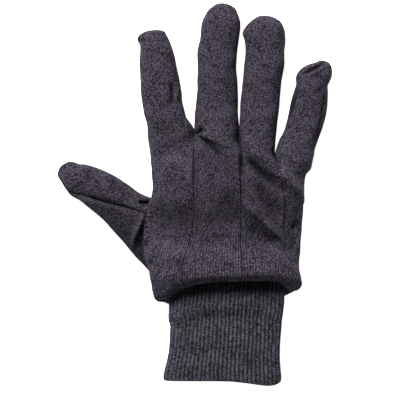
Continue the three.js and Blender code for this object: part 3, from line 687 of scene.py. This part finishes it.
def finger_points(strip, side, along, share):
    """Points of a finger, from root to tip."""
    s = sizes()
    finger = FINGERS[strip]
    width = getattr(s, finger["name"] + "_width")
    corners = [np.array([edge_x(name, 1.0), ROOT_REACH[name] * s.body_length])
               for name in EDGES[strip:strip + 2]]
    root = (corners[0] + corners[1]) / 2
    angle = math.asin(finger["lean"])
    way = np.array([math.sin(angle), math.cos(angle)])
    across = np.array([way[1], -way[0]])
    u = np.sin((share - 0.5) * math.pi)
    settle = smooth(along, 0, SETTLE_SHARE)
    wide = look(finger["rows"], "wide", along) * width * round_tip(along, FINGER_CAP)
    shift = look(finger["rows"], "shift", along) * width
    ends = []
    for k, corner in enumerate(corners):
        offset = mix((corner - root) @ across, shift + (k - 0.5) * wide, settle)
        ahead = along * getattr(s, finger["name"] + "_length") + (corner - root) @ way * (1 - settle)
        ends.append([root[n] + across[n] * offset + way[n] * ahead for n in range(2)])
    x, y = [mix(ends[0][n], ends[1][n], (1 + u) / 2) for n in range(2)]
    return np.stack(np.broadcast_arrays(x, y, finger_height(side, along, u)), -1)


def roll_points(strip, side, turn, share):
    """Points of the roll, from the body (turn 0) round to the wrist seam (1) and on under it (2)."""
    base = body_points(strip, side, np.zeros_like(turn), share)
    _, hang, inner_x, inner_z = roll_at(base[..., 0], side)
    angle = np.minimum(turn, 1) * math.pi
    f = (1 - np.cos(angle)) / 2
    y = base[..., 1] - hang * np.sin(angle) + np.maximum(turn - 1, 0) * sizes().seam_allowance
    return np.stack([mix(base[..., 0], inner_x, f), y, mix(base[..., 2], inner_z, f)], -1)


def strip_points(strip, side, rows, shares):
    """A strip's grid. Rows run from -2, under the wrist seam, over 0, the roll, and 1, the finger's root,
    to 2, its tip."""
    rows = rows[:, None]
    shares = shares[None, :]
    roll = roll_points(strip, side, -rows[rows[:, 0] < 0], shares)
    body = body_points(strip, side, rows[(rows[:, 0] >= 0) & (rows[:, 0] < 1)], shares)
    finger = finger_points(strip, side, rows[rows[:, 0] >= 1] - 1, shares)
    return np.concatenate([roll, body, finger])


def even_rows(points_at, low, high, spacing):
    """Places from low to high that lie about one spacing apart on the cloth."""
    places = np.linspace(low, high, LINE_SAMPLES)
    line = points_at(places)
    around = np.concatenate([[0], np.cumsum(np.linalg.norm(np.diff(line, axis=0), axis=1))])
    count = max(2, round(around[-1] / spacing))
    return np.interp(np.linspace(0, around[-1], count + 1), around, places)


def strip_rows(strip, spacing):
    """Rows of a strip. They are the same for all strips as far as the finger roots."""
    def line(number):
        return lambda places: strip_points(number, "top", places, np.array([0.5]))[:, 0]
    start, end = notch()[2:]
    stops = [-2, -1, 0, start, end, 1]
    body = [even_rows(line(1), low, high - NOT_ZERO, spacing)[:-1] for low, high in zip(stops, stops[1:])]
    return np.concatenate([*body, even_rows(line(strip), 1, 2, spacing)])


def edge_columns(count):
    """Shares across a strip, closer together beside its seams."""
    low = np.array(EDGE_SHARES)
    middle = np.linspace(low[-1], 1 - low[-1], count - 2 * len(low) + 1)
    return np.concatenate([[0], low[:-1], middle, 1 - low[:-1][::-1], [1]])


def run_along(points, axis):
    """Length of cloth from the first row or column to each point."""
    steps = np.linalg.norm(np.diff(points, axis=axis), axis=-1)
    return np.concatenate([np.zeros_like(np.take(steps, [0], axis)), np.cumsum(steps, axis=axis)], axis=axis)


def cloth_map(points, start, widest=None):
    """Flat places of the cloth in metres: across it from a share of the way, and along it. Where a row is
    named as the widest, the cloth's columns of stitches draw together wherever it is narrower than there."""
    across = run_along(points, 1)
    if widest is not None:
        across = across / np.maximum(across[:, -1:], TINY) * across[widest, -1]
    middle = points.shape[1] // 2
    along = run_along(points, 0)[:, middle:middle + 1]
    return np.stack(np.broadcast_arrays(across - start * across[:, -1:], along), -1)


def new_panel(points, flat, seam, folds):
    """A panel of cloth: its points, their flat places, how far they lie from its seams, and its folds. wide
    says where its edge turns in widely, dark how much painted shade its seams get, and used which faces it
    has."""
    rows, columns = points.shape[:2]
    return {"points": points, "flat": flat, "seam": seam, "folds": folds, "wide": np.zeros_like(seam),
            "dark": np.ones_like(seam), "used": np.ones((rows - 1, columns - 1), bool)}


def turned_over(panel):
    """The same panel with its outer face on the other side."""
    return {key: value if key == "folds" else value[:, ::-1] for key, value in panel.items()}


def beside_finger(away, rows):
    """How far a point lies from a side of a palm strip that is sewn only on the finger."""
    sewn = smooth(rows, 1, SIDES_SEWN)[:, None]
    return np.where(sewn > 0, away / np.maximum(sewn, NOT_ZERO), np.inf)


def strip_panel(strip, side, columns, rows):
    """One strip of the back or the palm."""
    first = strip == 0
    last = strip == len(FINGERS) - 1
    shares = edge_columns(columns)
    if side == "under":
        shares = np.sort(np.append(shares[shares != NOTCH_SHARE], NOTCH_SHARE))
    points = strip_points(strip, side, rows, shares)
    across = run_along(points, 1)
    along = run_along(points, 0)
    left = across
    right = across[:, -1:] - across
    if side == "under" and not first:
        left = beside_finger(left, rows)
    if side == "under" and not last:
        right = beside_finger(right, rows)
    flat = cloth_map(points, 1 if first else 0, None if first or last else int(np.argmin(np.abs(rows))))
    seam = np.minimum(np.minimum(left, right), along[-1:] - along)
    panel = new_panel(points, flat, seam, BACK_FOLDS if side == "top" else {})
    shades = [look(SEAM_PAINTED_SHADES[name], "shade", rows)[:, None] for name in EDGES[strip:strip + 2]]
    panel["dark"] = np.where(left < right, *shades)
    if side == "top":
        if first:
            panel["wide"] = beside_thumb(rows)[:, None] * (left < right)
        return panel
    if first:
        start, end = notch()[2:]
        in_notch = (rows[:-1] >= start - TINY) & (rows[:-1] < end - TINY)
        panel["used"] = ~(in_notch[:, None] & (shares[:-1] < NOTCH_SHARE - TINY))
    return turned_over(panel)


def thumb_points(rows, start, end):
    """Points of the thumb from root to tip, between two angles round it."""
    s = sizes()
    x0, middle = notch()[:2]
    along = rows[:, None]
    angle = np.radians(mix(start, end, edge_columns(THUMB_COLUMNS)))
    turn = np.radians(look(THUMB, "turn", along))
    half = look(THUMB, "wide", along) * s.thumb_width / 2 * round_tip(along, FINGER_CAP)
    u = np.cos(angle)
    side = THUMB_SIDE * s.thumb_depth
    high = look(THUMB, "high", along) * s.thumb_depth
    low = side * smooth(along, THUMB_TIP, 1)
    over = side + (high - side) * arch(u, FINGER_ROUND)
    under = side - (side - low) * flat_arch(u)
    x = x0 - look(THUMB, "reach", along) * s.thumb_reach + u * half * np.cos(turn)
    y = middle + look(THUMB, "rise", along) * s.thumb_rise + u * half * np.sin(turn)
    return np.stack([x, y, np.where(np.sin(angle) >= 0, over, under)], -1)


def thumb_panel(rows, start, end):
    """One piece of the thumb."""
    points = thumb_points(rows, start, end)
    across = run_along(points, 1)
    down = run_along(points, 0)
    seam = np.minimum(np.minimum(across, across[:, -1:] - across), down[-1:] - down)
    return turned_over(new_panel(points, cloth_map(points, 0.5), seam, THUMB_FOLDS))


def shared_normals(panels):
    """The direction out of the cloth at each point, the same on all panels that are sewn together there."""
    stacked = np.concatenate([panel["points"].reshape(-1, 3) for panel in panels])
    places, index = np.unique(np.round(stacked, 6), axis=0, return_inverse=True)
    index = index.reshape(-1)
    total = np.zeros_like(places)
    offset = 0
    for panel in panels:
        points = panel["points"]
        numbers = index[offset:offset + points.shape[0] * points.shape[1]].reshape(points.shape[:2])
        offset += numbers.size
        panel["numbers"] = numbers
        a, b, c, d = points[:-1, :-1], points[:-1, 1:], points[1:, 1:], points[1:, :-1]
        normal = np.cross(c - a, d - b) * panel["used"][..., None]
        for corner in (numbers[:-1, :-1], numbers[:-1, 1:], numbers[1:, 1:], numbers[1:, :-1]):
            np.add.at(total, corner.reshape(-1), normal.reshape(-1, 3))
    total /= np.maximum(np.linalg.norm(total, axis=1, keepdims=True), NOT_ZERO)
    for panel in panels:
        panel["normals"] = total[panel["numbers"]]


def wrinkles(points, wavelength, seed):
    """A smooth seeded unevenness of the cloth."""
    random = np.random.default_rng(seed)
    total = np.zeros(points.shape[:-1])
    for _ in range(WAVES):
        way = random.normal(size=3)
        way *= 2 * math.pi / (np.linalg.norm(way) * wavelength * random.uniform(*WAVE_SPREAD))
        total += np.sin(points @ way + random.uniform(0, 2 * math.pi))
    return total / math.sqrt(WAVES)


def near_line(x, y, line):
    """How far places lie from a line of places on the glove, how far along it as a share, and on which side
    of it: 1 on its right and -1 on its left."""
    s = sizes()
    stops = np.array(line) * (s.palm_width / 2, s.body_length)
    lengths = np.linalg.norm(np.diff(stops, axis=0), axis=1)
    before = np.concatenate([[0], np.cumsum(lengths)])
    best = np.full(x.shape, np.inf)
    share = np.zeros(x.shape)
    side = np.zeros(x.shape)
    for k, length_here in enumerate(lengths):
        way = (stops[k + 1] - stops[k]) / length_here
        dx = x - stops[k][0]
        dy = y - stops[k][1]
        at = np.clip(dx * way[0] + dy * way[1], 0, length_here)
        away = np.hypot(dx - at * way[0], dy - at * way[1])
        nearer = away < best
        best = np.where(nearer, away, best)
        share = np.where(nearer, (before[k] + at) / before[-1], share)
        side = np.where(nearer, np.sign(dx * way[1] - dy * way[0]), side)
    return best, share, side


def on_fold(points, each, sharp, widen=1, lean=0):
    """How much of a fold each point has: 1 on its line, and fading beside it and at its ends."""
    away, share, side = near_line(points[..., 0], points[..., 1], each["line"])
    half = widen * each["half"] * sizes().body_depth * (1 + side * lean)
    ends = mix(smooth(np.minimum(share, 1 - share), 0, FOLD_END), 1, each["ends"])
    return ends * np.exp(-(away / half) ** sharp)


def fold_lift(points, folds):
    """How far the folds lift each point."""
    total = np.zeros(points.shape[:-1])
    for each in folds.values():
        total += each["rise"] * sizes().body_depth * on_fold(points, each, each["sharp"], lean=each["lean"])
    return total


def painted_fold_shade(points, folds):
    """How much painted shade the dark folds give each point, 0 to 1."""
    total = np.zeros(points.shape[:-1])
    for each in folds.values():
        if each["dark"]:
            total = np.maximum(total, each["dark"] * on_fold(points, each, 2, PAINTED_SHADE_WIDTH))
    return total


def seam_turn(distance, wide):
    """How far the cloth turns in beside a seam."""
    s = sizes()
    reach = mix(s.seam_round, s.thumb_edge, wide)
    share = np.clip(1 - distance / reach, 0, 1)
    return s.seam_round * mix(1, EDGE_TURN, wide) * (1 - np.sqrt(1 - share * share))


def shape_cloth(panel):
    """Lifts folds and wrinkles and turns the seams in. Folds lift upward and sideways, never lengthwise."""
    s = sizes()
    points = panel["points"]
    normals = panel["normals"]
    folded = fold_lift(points, panel["folds"]) * smooth(normals[..., 2], *FACING)
    uneven = sum(strong * wrinkles(points, wave, SEED + k) for k, (wave, strong) in enumerate(WRINKLES))
    lift = s.wrinkle * uneven * mix(CALM_SHARE, 1, smooth(panel["seam"], 0, CALM_REACH))
    lift += s.puff - seam_turn(panel["seam"], panel["wide"])
    shaped = points + normals * lift[..., None] + normals * (1, 0, 1) * folded[..., None]
    for edge, inner in ((0, 1), (-1, -2)):
        way = points[:, inner] - points[:, edge]
        way /= np.maximum(np.linalg.norm(way, axis=-1, keepdims=True), NOT_ZERO)
        on_seam = panel["seam"][:, edge] < TINY
        shaped[:, edge] += way * SEAM_CLEARANCE * on_seam[:, None]
    shaped[..., 2] = np.maximum(shaped[..., 2], 0)
    return shaped


def deselect():
    bpy.ops.object.select_all(action="DESELECT")


def pick(thing, *others):
    """Selects one object and makes it the active one, with others selected beside it."""
    deselect()
    for each in (thing, *others):
        each.select_set(True)
    bpy.context.view_layer.objects.active = thing


def flat_cloth(name, rows, columns):
    """A flat grid of cloth with this many rows and columns of points."""
    deselect()
    bpy.ops.mesh.primitive_grid_add(x_subdivisions=columns - 1, y_subdivisions=rows - 1, size=1)
    cloth = bpy.context.object
    cloth.name = name
    cloth.data.name = name
    return cloth


def lay_cloth(cloth, points, flat):
    """Moves the grid's points to their place, and lays its flat map out in metres."""
    data = cloth.data
    places = points + np.array([*GLOVE_ORIGIN, 0])
    data.vertices.foreach_set("co", places.reshape(-1).astype(np.float32))
    corners = np.empty(len(data.loops), np.int32)
    data.loops.foreach_get("vertex_index", corners)
    uv = flat.reshape(-1, 2)[corners]
    data.uv_layers.active.data.foreach_set("uv", uv.reshape(-1).astype(np.float32))
    data.update()


def cut_out(cloth, used):
    """Deletes the faces of a grid that its pattern leaves out."""
    if used.all():
        return
    bpy.ops.object.mode_set(mode="EDIT")
    bpy.ops.mesh.select_all(action="DESELECT")
    bpy.ops.object.mode_set(mode="OBJECT")
    cloth.data.polygons.foreach_set("select", ~used.reshape(-1))
    bpy.ops.object.mode_set(mode="EDIT")
    bpy.ops.mesh.select_mode(type="FACE")
    bpy.ops.mesh.delete(type="FACE")
    bpy.ops.object.mode_set(mode="OBJECT")


def shade(cloth, depth):
    """Stores how much painted shade each point gets in a seam, a fold or a groove; the material darkens
    by it.
    """
    layer = cloth.data.attributes.new("groove", "FLOAT", "POINT")
    layer.data.foreach_set("value", depth.reshape(-1).astype(np.float32))


def make_panel(name, panel):
    """A cloth panel's object, before it gets its thickness."""
    points = shape_cloth(panel)
    cloth = flat_cloth(name, points.shape[0], points.shape[1])
    lay_cloth(cloth, points, panel["flat"])
    # Painted shade along the seams and in the dark folds, which the material darkens the cloth by
    half = sizes().seam_painted_shade * mix(*SEAM_LINE, panel["dark"])
    seams = np.minimum(panel["dark"], 1) * np.exp(-(panel["seam"] / half) ** 2)
    shade(cloth, np.maximum(seams, painted_fold_shade(panel["points"], panel["folds"])))
    cut_out(cloth, panel["used"])
    return cloth


def merge_points(cloth):
    """Joins points that lie on each other."""
    pick(cloth)
    bpy.ops.object.mode_set(mode="EDIT")
    bpy.ops.mesh.select_all(action="SELECT")
    bpy.ops.mesh.remove_doubles(threshold=MERGE_REACH)
    bpy.ops.object.mode_set(mode="OBJECT")


def apply(thing, kind, **settings):
    """Adds a modifier and applies it."""
    pick(thing)
    modifier = thing.modifiers.new(kind.title(), kind)
    for key, value in settings.items():
        setattr(modifier, key, value)
    bpy.ops.object.modifier_apply(modifier=modifier.name)


def finish_cloth(cloth, material, nodes):
    """Lays a piece on the ground, smooths it, gives it its material and puts it on the part."""
    places = np.empty(3 * len(cloth.data.vertices), np.float32)
    cloth.data.vertices.foreach_get("co", places)
    places[2::3] = np.maximum(places[2::3], 0)
    cloth.data.vertices.foreach_set("co", places)
    pick(cloth)
    bpy.ops.object.shade_smooth_by_angle(angle=SMOOTH_ANGLE)
    cloth.data.materials.clear()
    cloth.data.materials.append(material)
    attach(cloth, "root")
    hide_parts(*nodes)


def finish_jersey(cloth, node_name):
    """Gives a jersey panel its thickness and finishes it."""
    apply(cloth, "SOLIDIFY", thickness=sizes().jersey_wall, offset=-1)
    finish_cloth(cloth, jersey(), [node_name])


def node(tree, kind, inputs=None, **settings):
    """Adds a shader node, with its settings and what feeds its inputs."""
    made = tree.nodes.new(kind)
    for key, value in settings.items():
        setattr(made, key, value)
    for key, value in (inputs or {}).items():
        if isinstance(value, bpy.types.NodeSocket):
            tree.links.new(value, made.inputs[key])
        else:
            made.inputs[key].default_value = value
    return made


def new_material(name, settings):
    """A new material with its shader set, and that shader."""
    material = bpy.data.materials.new(name)
    material.use_nodes = True
    shader = material.node_tree.nodes["Principled BSDF"]
    for key, value in settings.items():
        shader.inputs[key].default_value = value
    return material, shader


def maths(tree, operation, *values):
    """The result of a sum of values or sockets."""
    inputs = dict(enumerate(values))
    return node(tree, "ShaderNodeMath", inputs, operation=operation).outputs[0]


def ramp(tree, factor, stops):
    """A colour ramp over a factor."""
    made = node(tree, "ShaderNodeValToRGB", {"Fac": factor})
    elements = made.color_ramp.elements
    for k, (place, value) in enumerate(stops):
        element = elements[k] if k < 2 else elements.new(place)
        element.position = place
        element.color = (value, value, value, 1) if isinstance(value, float) else (*value, 1)
    return made.outputs["Color"]


def blend(tree, kind, factor, below, above):
    """Mixes two colours."""
    made = node(tree, "ShaderNodeMix", {"Factor": factor}, data_type="RGBA", blend_type=kind)
    for key, value in (("A", below), ("B", above)):
        socket = next(each for each in made.inputs if each.identifier == key + "_Color")
        if isinstance(value, bpy.types.NodeSocket):
            tree.links.new(value, socket)
        else:
            socket.default_value = value
    return next(each for each in made.outputs if each.identifier == "Result_Color")


def fibre_noise(tree, place, across, along, detail, offset):
    """Noise in the cloth's flat map, with grains of the given size."""
    mapping = node(tree, "ShaderNodeMapping", {
        "Vector": place, "Scale": (1 / across, 1 / along, 1), "Location": (offset, offset, 0)})
    return node(tree, "ShaderNodeTexNoise", {
        "Vector": mapping.outputs[0], "Scale": 1.0, "Detail": detail, "Roughness": GRAIN_ROUGHNESS},
        noise_dimensions="2D").outputs["Fac"]


def stitch_parts(tree, place, wale, course):
    """Parts of a knit stitch: the height of its yarn, and a number for each half of a stitch."""
    split = node(tree, "ShaderNodeSeparateXYZ", {0: place})
    column = maths(tree, "DIVIDE", split.outputs["X"], wale)
    row = maths(tree, "DIVIDE", split.outputs["Y"], course)
    beside = maths(tree, "ABSOLUTE", maths(tree, "SUBTRACT", maths(tree, "FRACT", column), 0.5))
    phase = maths(tree, "ADD", row, maths(tree, "MULTIPLY", beside, STITCH_SLANT))
    turn = maths(tree, "COSINE", maths(tree, "MULTIPLY", phase, 2 * math.pi))
    loop = maths(tree, "MULTIPLY_ADD", turn, 0.5, 0.5)
    edge = maths(tree, "POWER", maths(tree, "MULTIPLY", beside, 2.0), STITCH_SQUARE)
    ridge = maths(tree, "SUBTRACT", 1.0, edge)
    height = maths(tree, "MULTIPLY", ridge, maths(tree, "MULTIPLY_ADD", loop, 0.5, 0.5))
    cell = node(tree, "ShaderNodeCombineXYZ", {
        "X": maths(tree, "FLOOR", maths(tree, "MULTIPLY", column, 2.0)),
        "Y": maths(tree, "FLOOR", phase), "Z": 0.0}).outputs[0]
    each = node(tree, "ShaderNodeTexWhiteNoise", {"Vector": cell}, noise_dimensions="3D").outputs["Value"]
    return height, each


def knit_material(name, wale, shades, tint_share, between, gathers):
    """Melange knit: stitches with fibres of several shades, soft and rough, with painted shade between the
    stitches and in the seams, folds and grooves. Its columns of stitches show all over, or only where the
    cloth gathers above the wrist."""
    *yarn, tint, pale = shades
    material, shader = new_material(name, CLOTH_LOOK)
    tree = material.node_tree
    place = node(tree, "ShaderNodeUVMap", uv_map="UVMap").outputs[0]
    height, each = stitch_parts(tree, place, wale, sizes().course_pitch)
    shown = gathered(tree) if gathers else 1.0
    grain = {key: fibre_noise(tree, place, **settings) for key, settings in GRAINS.items()}
    mixed = grain["fibres"]
    for part, shift in ((each, STITCH_SHIFT), (grain["clouds"], CLOUD_SHIFT),
                        (grain["streaks"], STREAK_SHIFT)):
        mixed = maths(tree, "MULTIPLY_ADD", maths(tree, "SUBTRACT", part, 0.5), shift, mixed)
    cloth_colour = ramp(tree, mixed, zip(SHADE_STOPS, yarn))
    for part, stops, share, other in ((grain["red"], TINT_STOPS, tint_share, tint),
                                      (grain["grey"], PALE_STOPS, PALE_SHARE, pale)):
        amount = ramp(tree, part, zip(stops, (0.0, share)))
        cloth_colour = blend(tree, "MIX", amount, cloth_colour, (*other, 1))
    # Painted shade between the stitches, and an even painted shade where they don't show
    stitches = blend(tree, "MIX", shown, EVEN_PAINTED_SHADE, ramp(tree, height, ((0.0, between), (LIT_HEIGHT, 1.0))))
    # Painted shade in the seams, folds and grooves, from the groove attribute
    groove = node(tree, "ShaderNodeAttribute", attribute_name="groove").outputs["Fac"]
    for painted_dimming in (stitches, ramp(tree, groove, ((0.0, 1.0), (1.0, PAINTED_GROOVE_LIGHT)))):
        cloth_colour = blend(tree, "MULTIPLY", 1.0, cloth_colour, painted_dimming)
    tree.links.new(cloth_colour, shader.inputs["Base Color"])
    relief = maths(tree, "MULTIPLY_ADD", grain["fuzz"], FUZZ_SHARE, maths(tree, "MULTIPLY", height, shown))
    bump = node(tree, "ShaderNodeBump", {"Height": relief, **RELIEF})
    tree.links.new(bump.outputs[0], shader.inputs["Normal"])
    return material


def gathered(tree):
    """How much the cloth gathers: 1 in a band above the wrist and little elsewhere."""
    place = node(tree, "ShaderNodeTexCoord").outputs["Object"]
    up = node(tree, "ShaderNodeSeparateXYZ", {0: place}).outputs["Y"]
    away = maths(tree, "ABSOLUTE", maths(tree, "SUBTRACT", up, GLOVE_ORIGIN[1] + GATHER_MIDDLE))
    return node(tree, "ShaderNodeMapRange", {
        "Value": away, "From Min": GATHER_HALF, "From Max": 2 * GATHER_HALF,
        "To Min": 1.0, "To Max": GATHER_ELSEWHERE}).outputs["Result"]


def jersey():
    """The jersey of the hand, made once."""
    c = colours()
    shades = (c.charcoal, c.slate, c.mist, c.plum, c.pale)
    return bpy.data.materials.get("melange jersey") or knit_material(
        "melange jersey", sizes().wale_pitch, shades, JERSEY_TINT, JERSEY_PAINTED_GAP_LIGHT, True)


def rib_knit():
    """The doubled rib knit of the wrist."""
    c = colours()
    shades = (c.rib_dark, c.rib_grey, c.rib_light, c.rib_light, c.pale)
    return knit_material("rib knit", sizes().rib_pitch, shades, RIB_TINT, RIB_PAINTED_GAP_LIGHT, False)


def round_wrist(angles):
    """Places across the wrist at angles round it, and which side of it they are on."""
    across = -np.sign(np.cos(angles)) * np.abs(np.cos(angles)) ** (2 / CUFF_ROUND)
    return across, np.where(np.sin(angles) >= -TINY, "top", "under")


def wrist_columns():
    """Places round the wrist, evenly spaced at the middle of its length: across, whether on top, how many
    ribs round it they lie, and how far round."""
    angles = np.linspace(0, 2 * math.pi, LINE_SAMPLES + 1)
    x, z = cuff_section(0.5, *round_wrist(angles), 0.0)
    around = np.concatenate([[0], np.cumsum(np.hypot(np.diff(x), np.diff(z)))])
    ribs = round(around[-1] / sizes().rib_pitch)
    places = np.linspace(0, around[-1], ribs * RIB_COLUMNS + 1)
    across, side = round_wrist(np.interp(places, around, angles))
    return across, side, np.arange(len(places)) / RIB_COLUMNS, places


def wrist_points():
    """The ribbed wrist: down its outside, round the folded hem and up its inside. Also its flat map, and how
    much painted shade each point gets in the grooves between the ribs."""
    s = sizes()
    across, side, rib, places = wrist_columns()
    down = np.linspace(0, 1, CUFF_ROWS)
    hem = np.linspace(0, 1, HEM_ROWS + 2)[1:-1]
    up = np.linspace(1, 0, CUFF_ROWS // 3)
    along = np.concatenate([down, np.ones(HEM_ROWS), up, [0]])[:, None]
    turn = np.concatenate([np.zeros(len(down)), hem, np.ones(len(up)), [0]])[:, None]
    crest = np.abs(np.sin(math.pi * rib)) ** RIB_SHARP
    groove = s.rib_relief * (1 - crest) * mix(1, HEM_RIBS, smooth(along, HEM_START, 1))
    waves = look(CUFF_WAVES, "rise", along) * s.cuff_depth * arch(across, 2.0)
    inset = s.rib_wall * (1 - np.cos(turn * math.pi)) / 2
    inset = inset + groove * np.cos(turn * math.pi) - waves * mix(1, INNER_WAVES, turn)
    x, z = cuff_section(along, across, side, -inset)
    sewn_x = mix(edge_x("left", 0.0), edge_x("right", 0.0), (across + 1) / 2)
    sewn_y = np.where(side == "top", roll_at(sewn_x, "top")[0], roll_at(sewn_x, "under")[0])
    top_y = sewn_y + s.seam_allowance + CUFF_CLEARANCE
    mouth_y = s.rib_wall / 2 - s.cuff_length * (1 + look(MOUTH, "drop", across))
    y = mix(top_y, mouth_y, along) - s.rib_wall / 2 * np.sin(turn * math.pi)
    points = np.stack(np.broadcast_arrays(x, y, z), -1)
    flat = np.stack(np.broadcast_arrays(places, run_along(points, 0)[:, :1]), -1)
    # Painted shade in the grooves between the ribs
    depth = look(CUFF_WAVES, "groove", along) * (1 - crest)
    return points[:, ::-1], flat[:, ::-1], depth[:, ::-1]


class GLOVE_OT_hand(bpy.types.Operator):
    """Sew the palm and the four back strips"""
    bl_idname = "glove.hand"
    bl_label = "Hand"

    def execute(self, context):
        backs = {}
        fronts = []
        for strip, finger in enumerate(FINGERS):
            rows = strip_rows(strip, BACK_SPACING)
            backs["back_" + finger["name"]] = strip_panel(strip, "top", BACK_COLUMNS, rows)
            fronts.append(strip_panel(strip, "under", PALM_COLUMNS, rows))
        shared_normals([*backs.values(), *fronts])
        for name, panel in backs.items():
            finish_jersey(make_panel("cloth_" + name, panel), name)
        pieces = [make_panel("cloth_palm", panel) for panel in fronts]
        pick(*pieces)
        bpy.ops.object.join()
        merge_points(pieces[0])
        finish_jersey(pieces[0], "palm")
        return {"FINISHED"}


class GLOVE_OT_thumb(bpy.types.Operator):
    """Sew the thumb's two pieces"""
    bl_idname = "glove.thumb"
    bl_label = "Thumb"

    def execute(self, context):
        def crown(places):
            return thumb_points(places, 90, 90)[:, 0]

        rows = even_rows(crown, 0, 1, BACK_SPACING)
        seam = look(THUMB, "seam", rows[:, None])
        panels = {"thumb_back": thumb_panel(rows, 0, seam), "thumb_front": thumb_panel(rows, seam, 360)}
        shared_normals(list(panels.values()))
        for name, panel in panels.items():
            finish_jersey(make_panel("cloth_" + name, panel), name)
        return {"FINISHED"}


class GLOVE_OT_wrist(bpy.types.Operator):
    """Knit the ribbed wrist"""
    bl_idname = "glove.wrist"
    bl_label = "Wrist"

    def execute(self, context):
        points, flat, depth = wrist_points()
        cloth = flat_cloth("cloth_knit_wrist", points.shape[0], points.shape[1])
        lay_cloth(cloth, points, flat)
        shade(cloth, depth)
        merge_points(cloth)
        finish_cloth(cloth, rib_knit(), ["knit_wrist"])
        return {"FINISHED"}


class GLOVE_OT_stage(bpy.types.Operator):
    """Set the white ground, the lamp, the soft room and the camera"""
    bl_idname = "glove.stage"
    bl_label = "Stage"

    def execute(self, context):
        deselect()
        bpy.ops.mesh.primitive_plane_add(size=GROUND_SIZE, location=GROUND_PLACE)
        ground = bpy.context.object
        ground.name = "ground"
        ground.data.materials.append(new_material("white ground", GROUND_LOOK)[0])
        bpy.ops.object.light_add(type="AREA", location=LAMP_PLACE)
        lamp = bpy.context.object
        lamp.name = "key"
        lamp.data.energy = LAMP_POWER
        lamp.data.size = LAMP_SIZE
        lamp.rotation_euler = (-Vector(LAMP_PLACE)).to_track_quat("-Z", "Y").to_euler()
        world = bpy.data.worlds.new("soft room")
        context.scene.world = world
        world.use_nodes = True
        background = world.node_tree.nodes["Background"]
        background.inputs["Color"].default_value = WHITE
        background.inputs["Strength"].default_value = ROOM_LIGHT
        bpy.ops.object.camera_add(location=(VIEW_MIDDLE[0], VIEW_MIDDLE[1], CAMERA_HEIGHT))
        camera = bpy.context.object
        camera.data.sensor_width = SENSOR
        camera.data.lens = SENSOR * (CAMERA_HEIGHT - VIEW_PLANE) / VIEW_WIDTH
        context.scene.camera = camera
        context.scene.view_settings.view_transform = "Standard"
        return {"FINISHED"}


class GLOVE_PT_panel(bpy.types.Panel):
    """Lists the glove's sizes, colours and pieces"""
    bl_label = "Cotton Work Glove"
    bl_idname = "GLOVE_PT_panel"
    bl_space_type = "VIEW_3D"
    bl_region_type = "UI"
    bl_category = "Glove"

    def draw(self, context):
        for group in (context.scene.glove_sizes, context.scene.glove_colours):
            box = self.layout.box()
            for key in group.bl_rna.properties.keys():
                if key not in ("rna_type", "name"):
                    box.prop(group, key)
        for operator in OPERATORS:
            self.layout.operator(operator.bl_idname)


OPERATORS = (GLOVE_OT_hand, GLOVE_OT_thumb, GLOVE_OT_wrist, GLOVE_OT_stage)
CLASSES = (GloveSizes, GloveColours, *OPERATORS, GLOVE_PT_panel)


def register():
    for each in CLASSES:
        bpy.utils.register_class(each)
    bpy.types.Scene.glove_sizes = bpy.props.PointerProperty(type=GloveSizes)
    bpy.types.Scene.glove_colours = bpy.props.PointerProperty(type=GloveColours)


def unregister():
    del bpy.types.Scene.glove_colours
    del bpy.types.Scene.glove_sizes
    for each in reversed(CLASSES):
        bpy.utils.unregister_class(each)


def main():
    register()
    bpy.ops.glove.hand()
    bpy.ops.glove.thumb()
    bpy.ops.glove.wrist()
    bpy.ops.glove.stage()


if __name__ == "__main__":
    main()
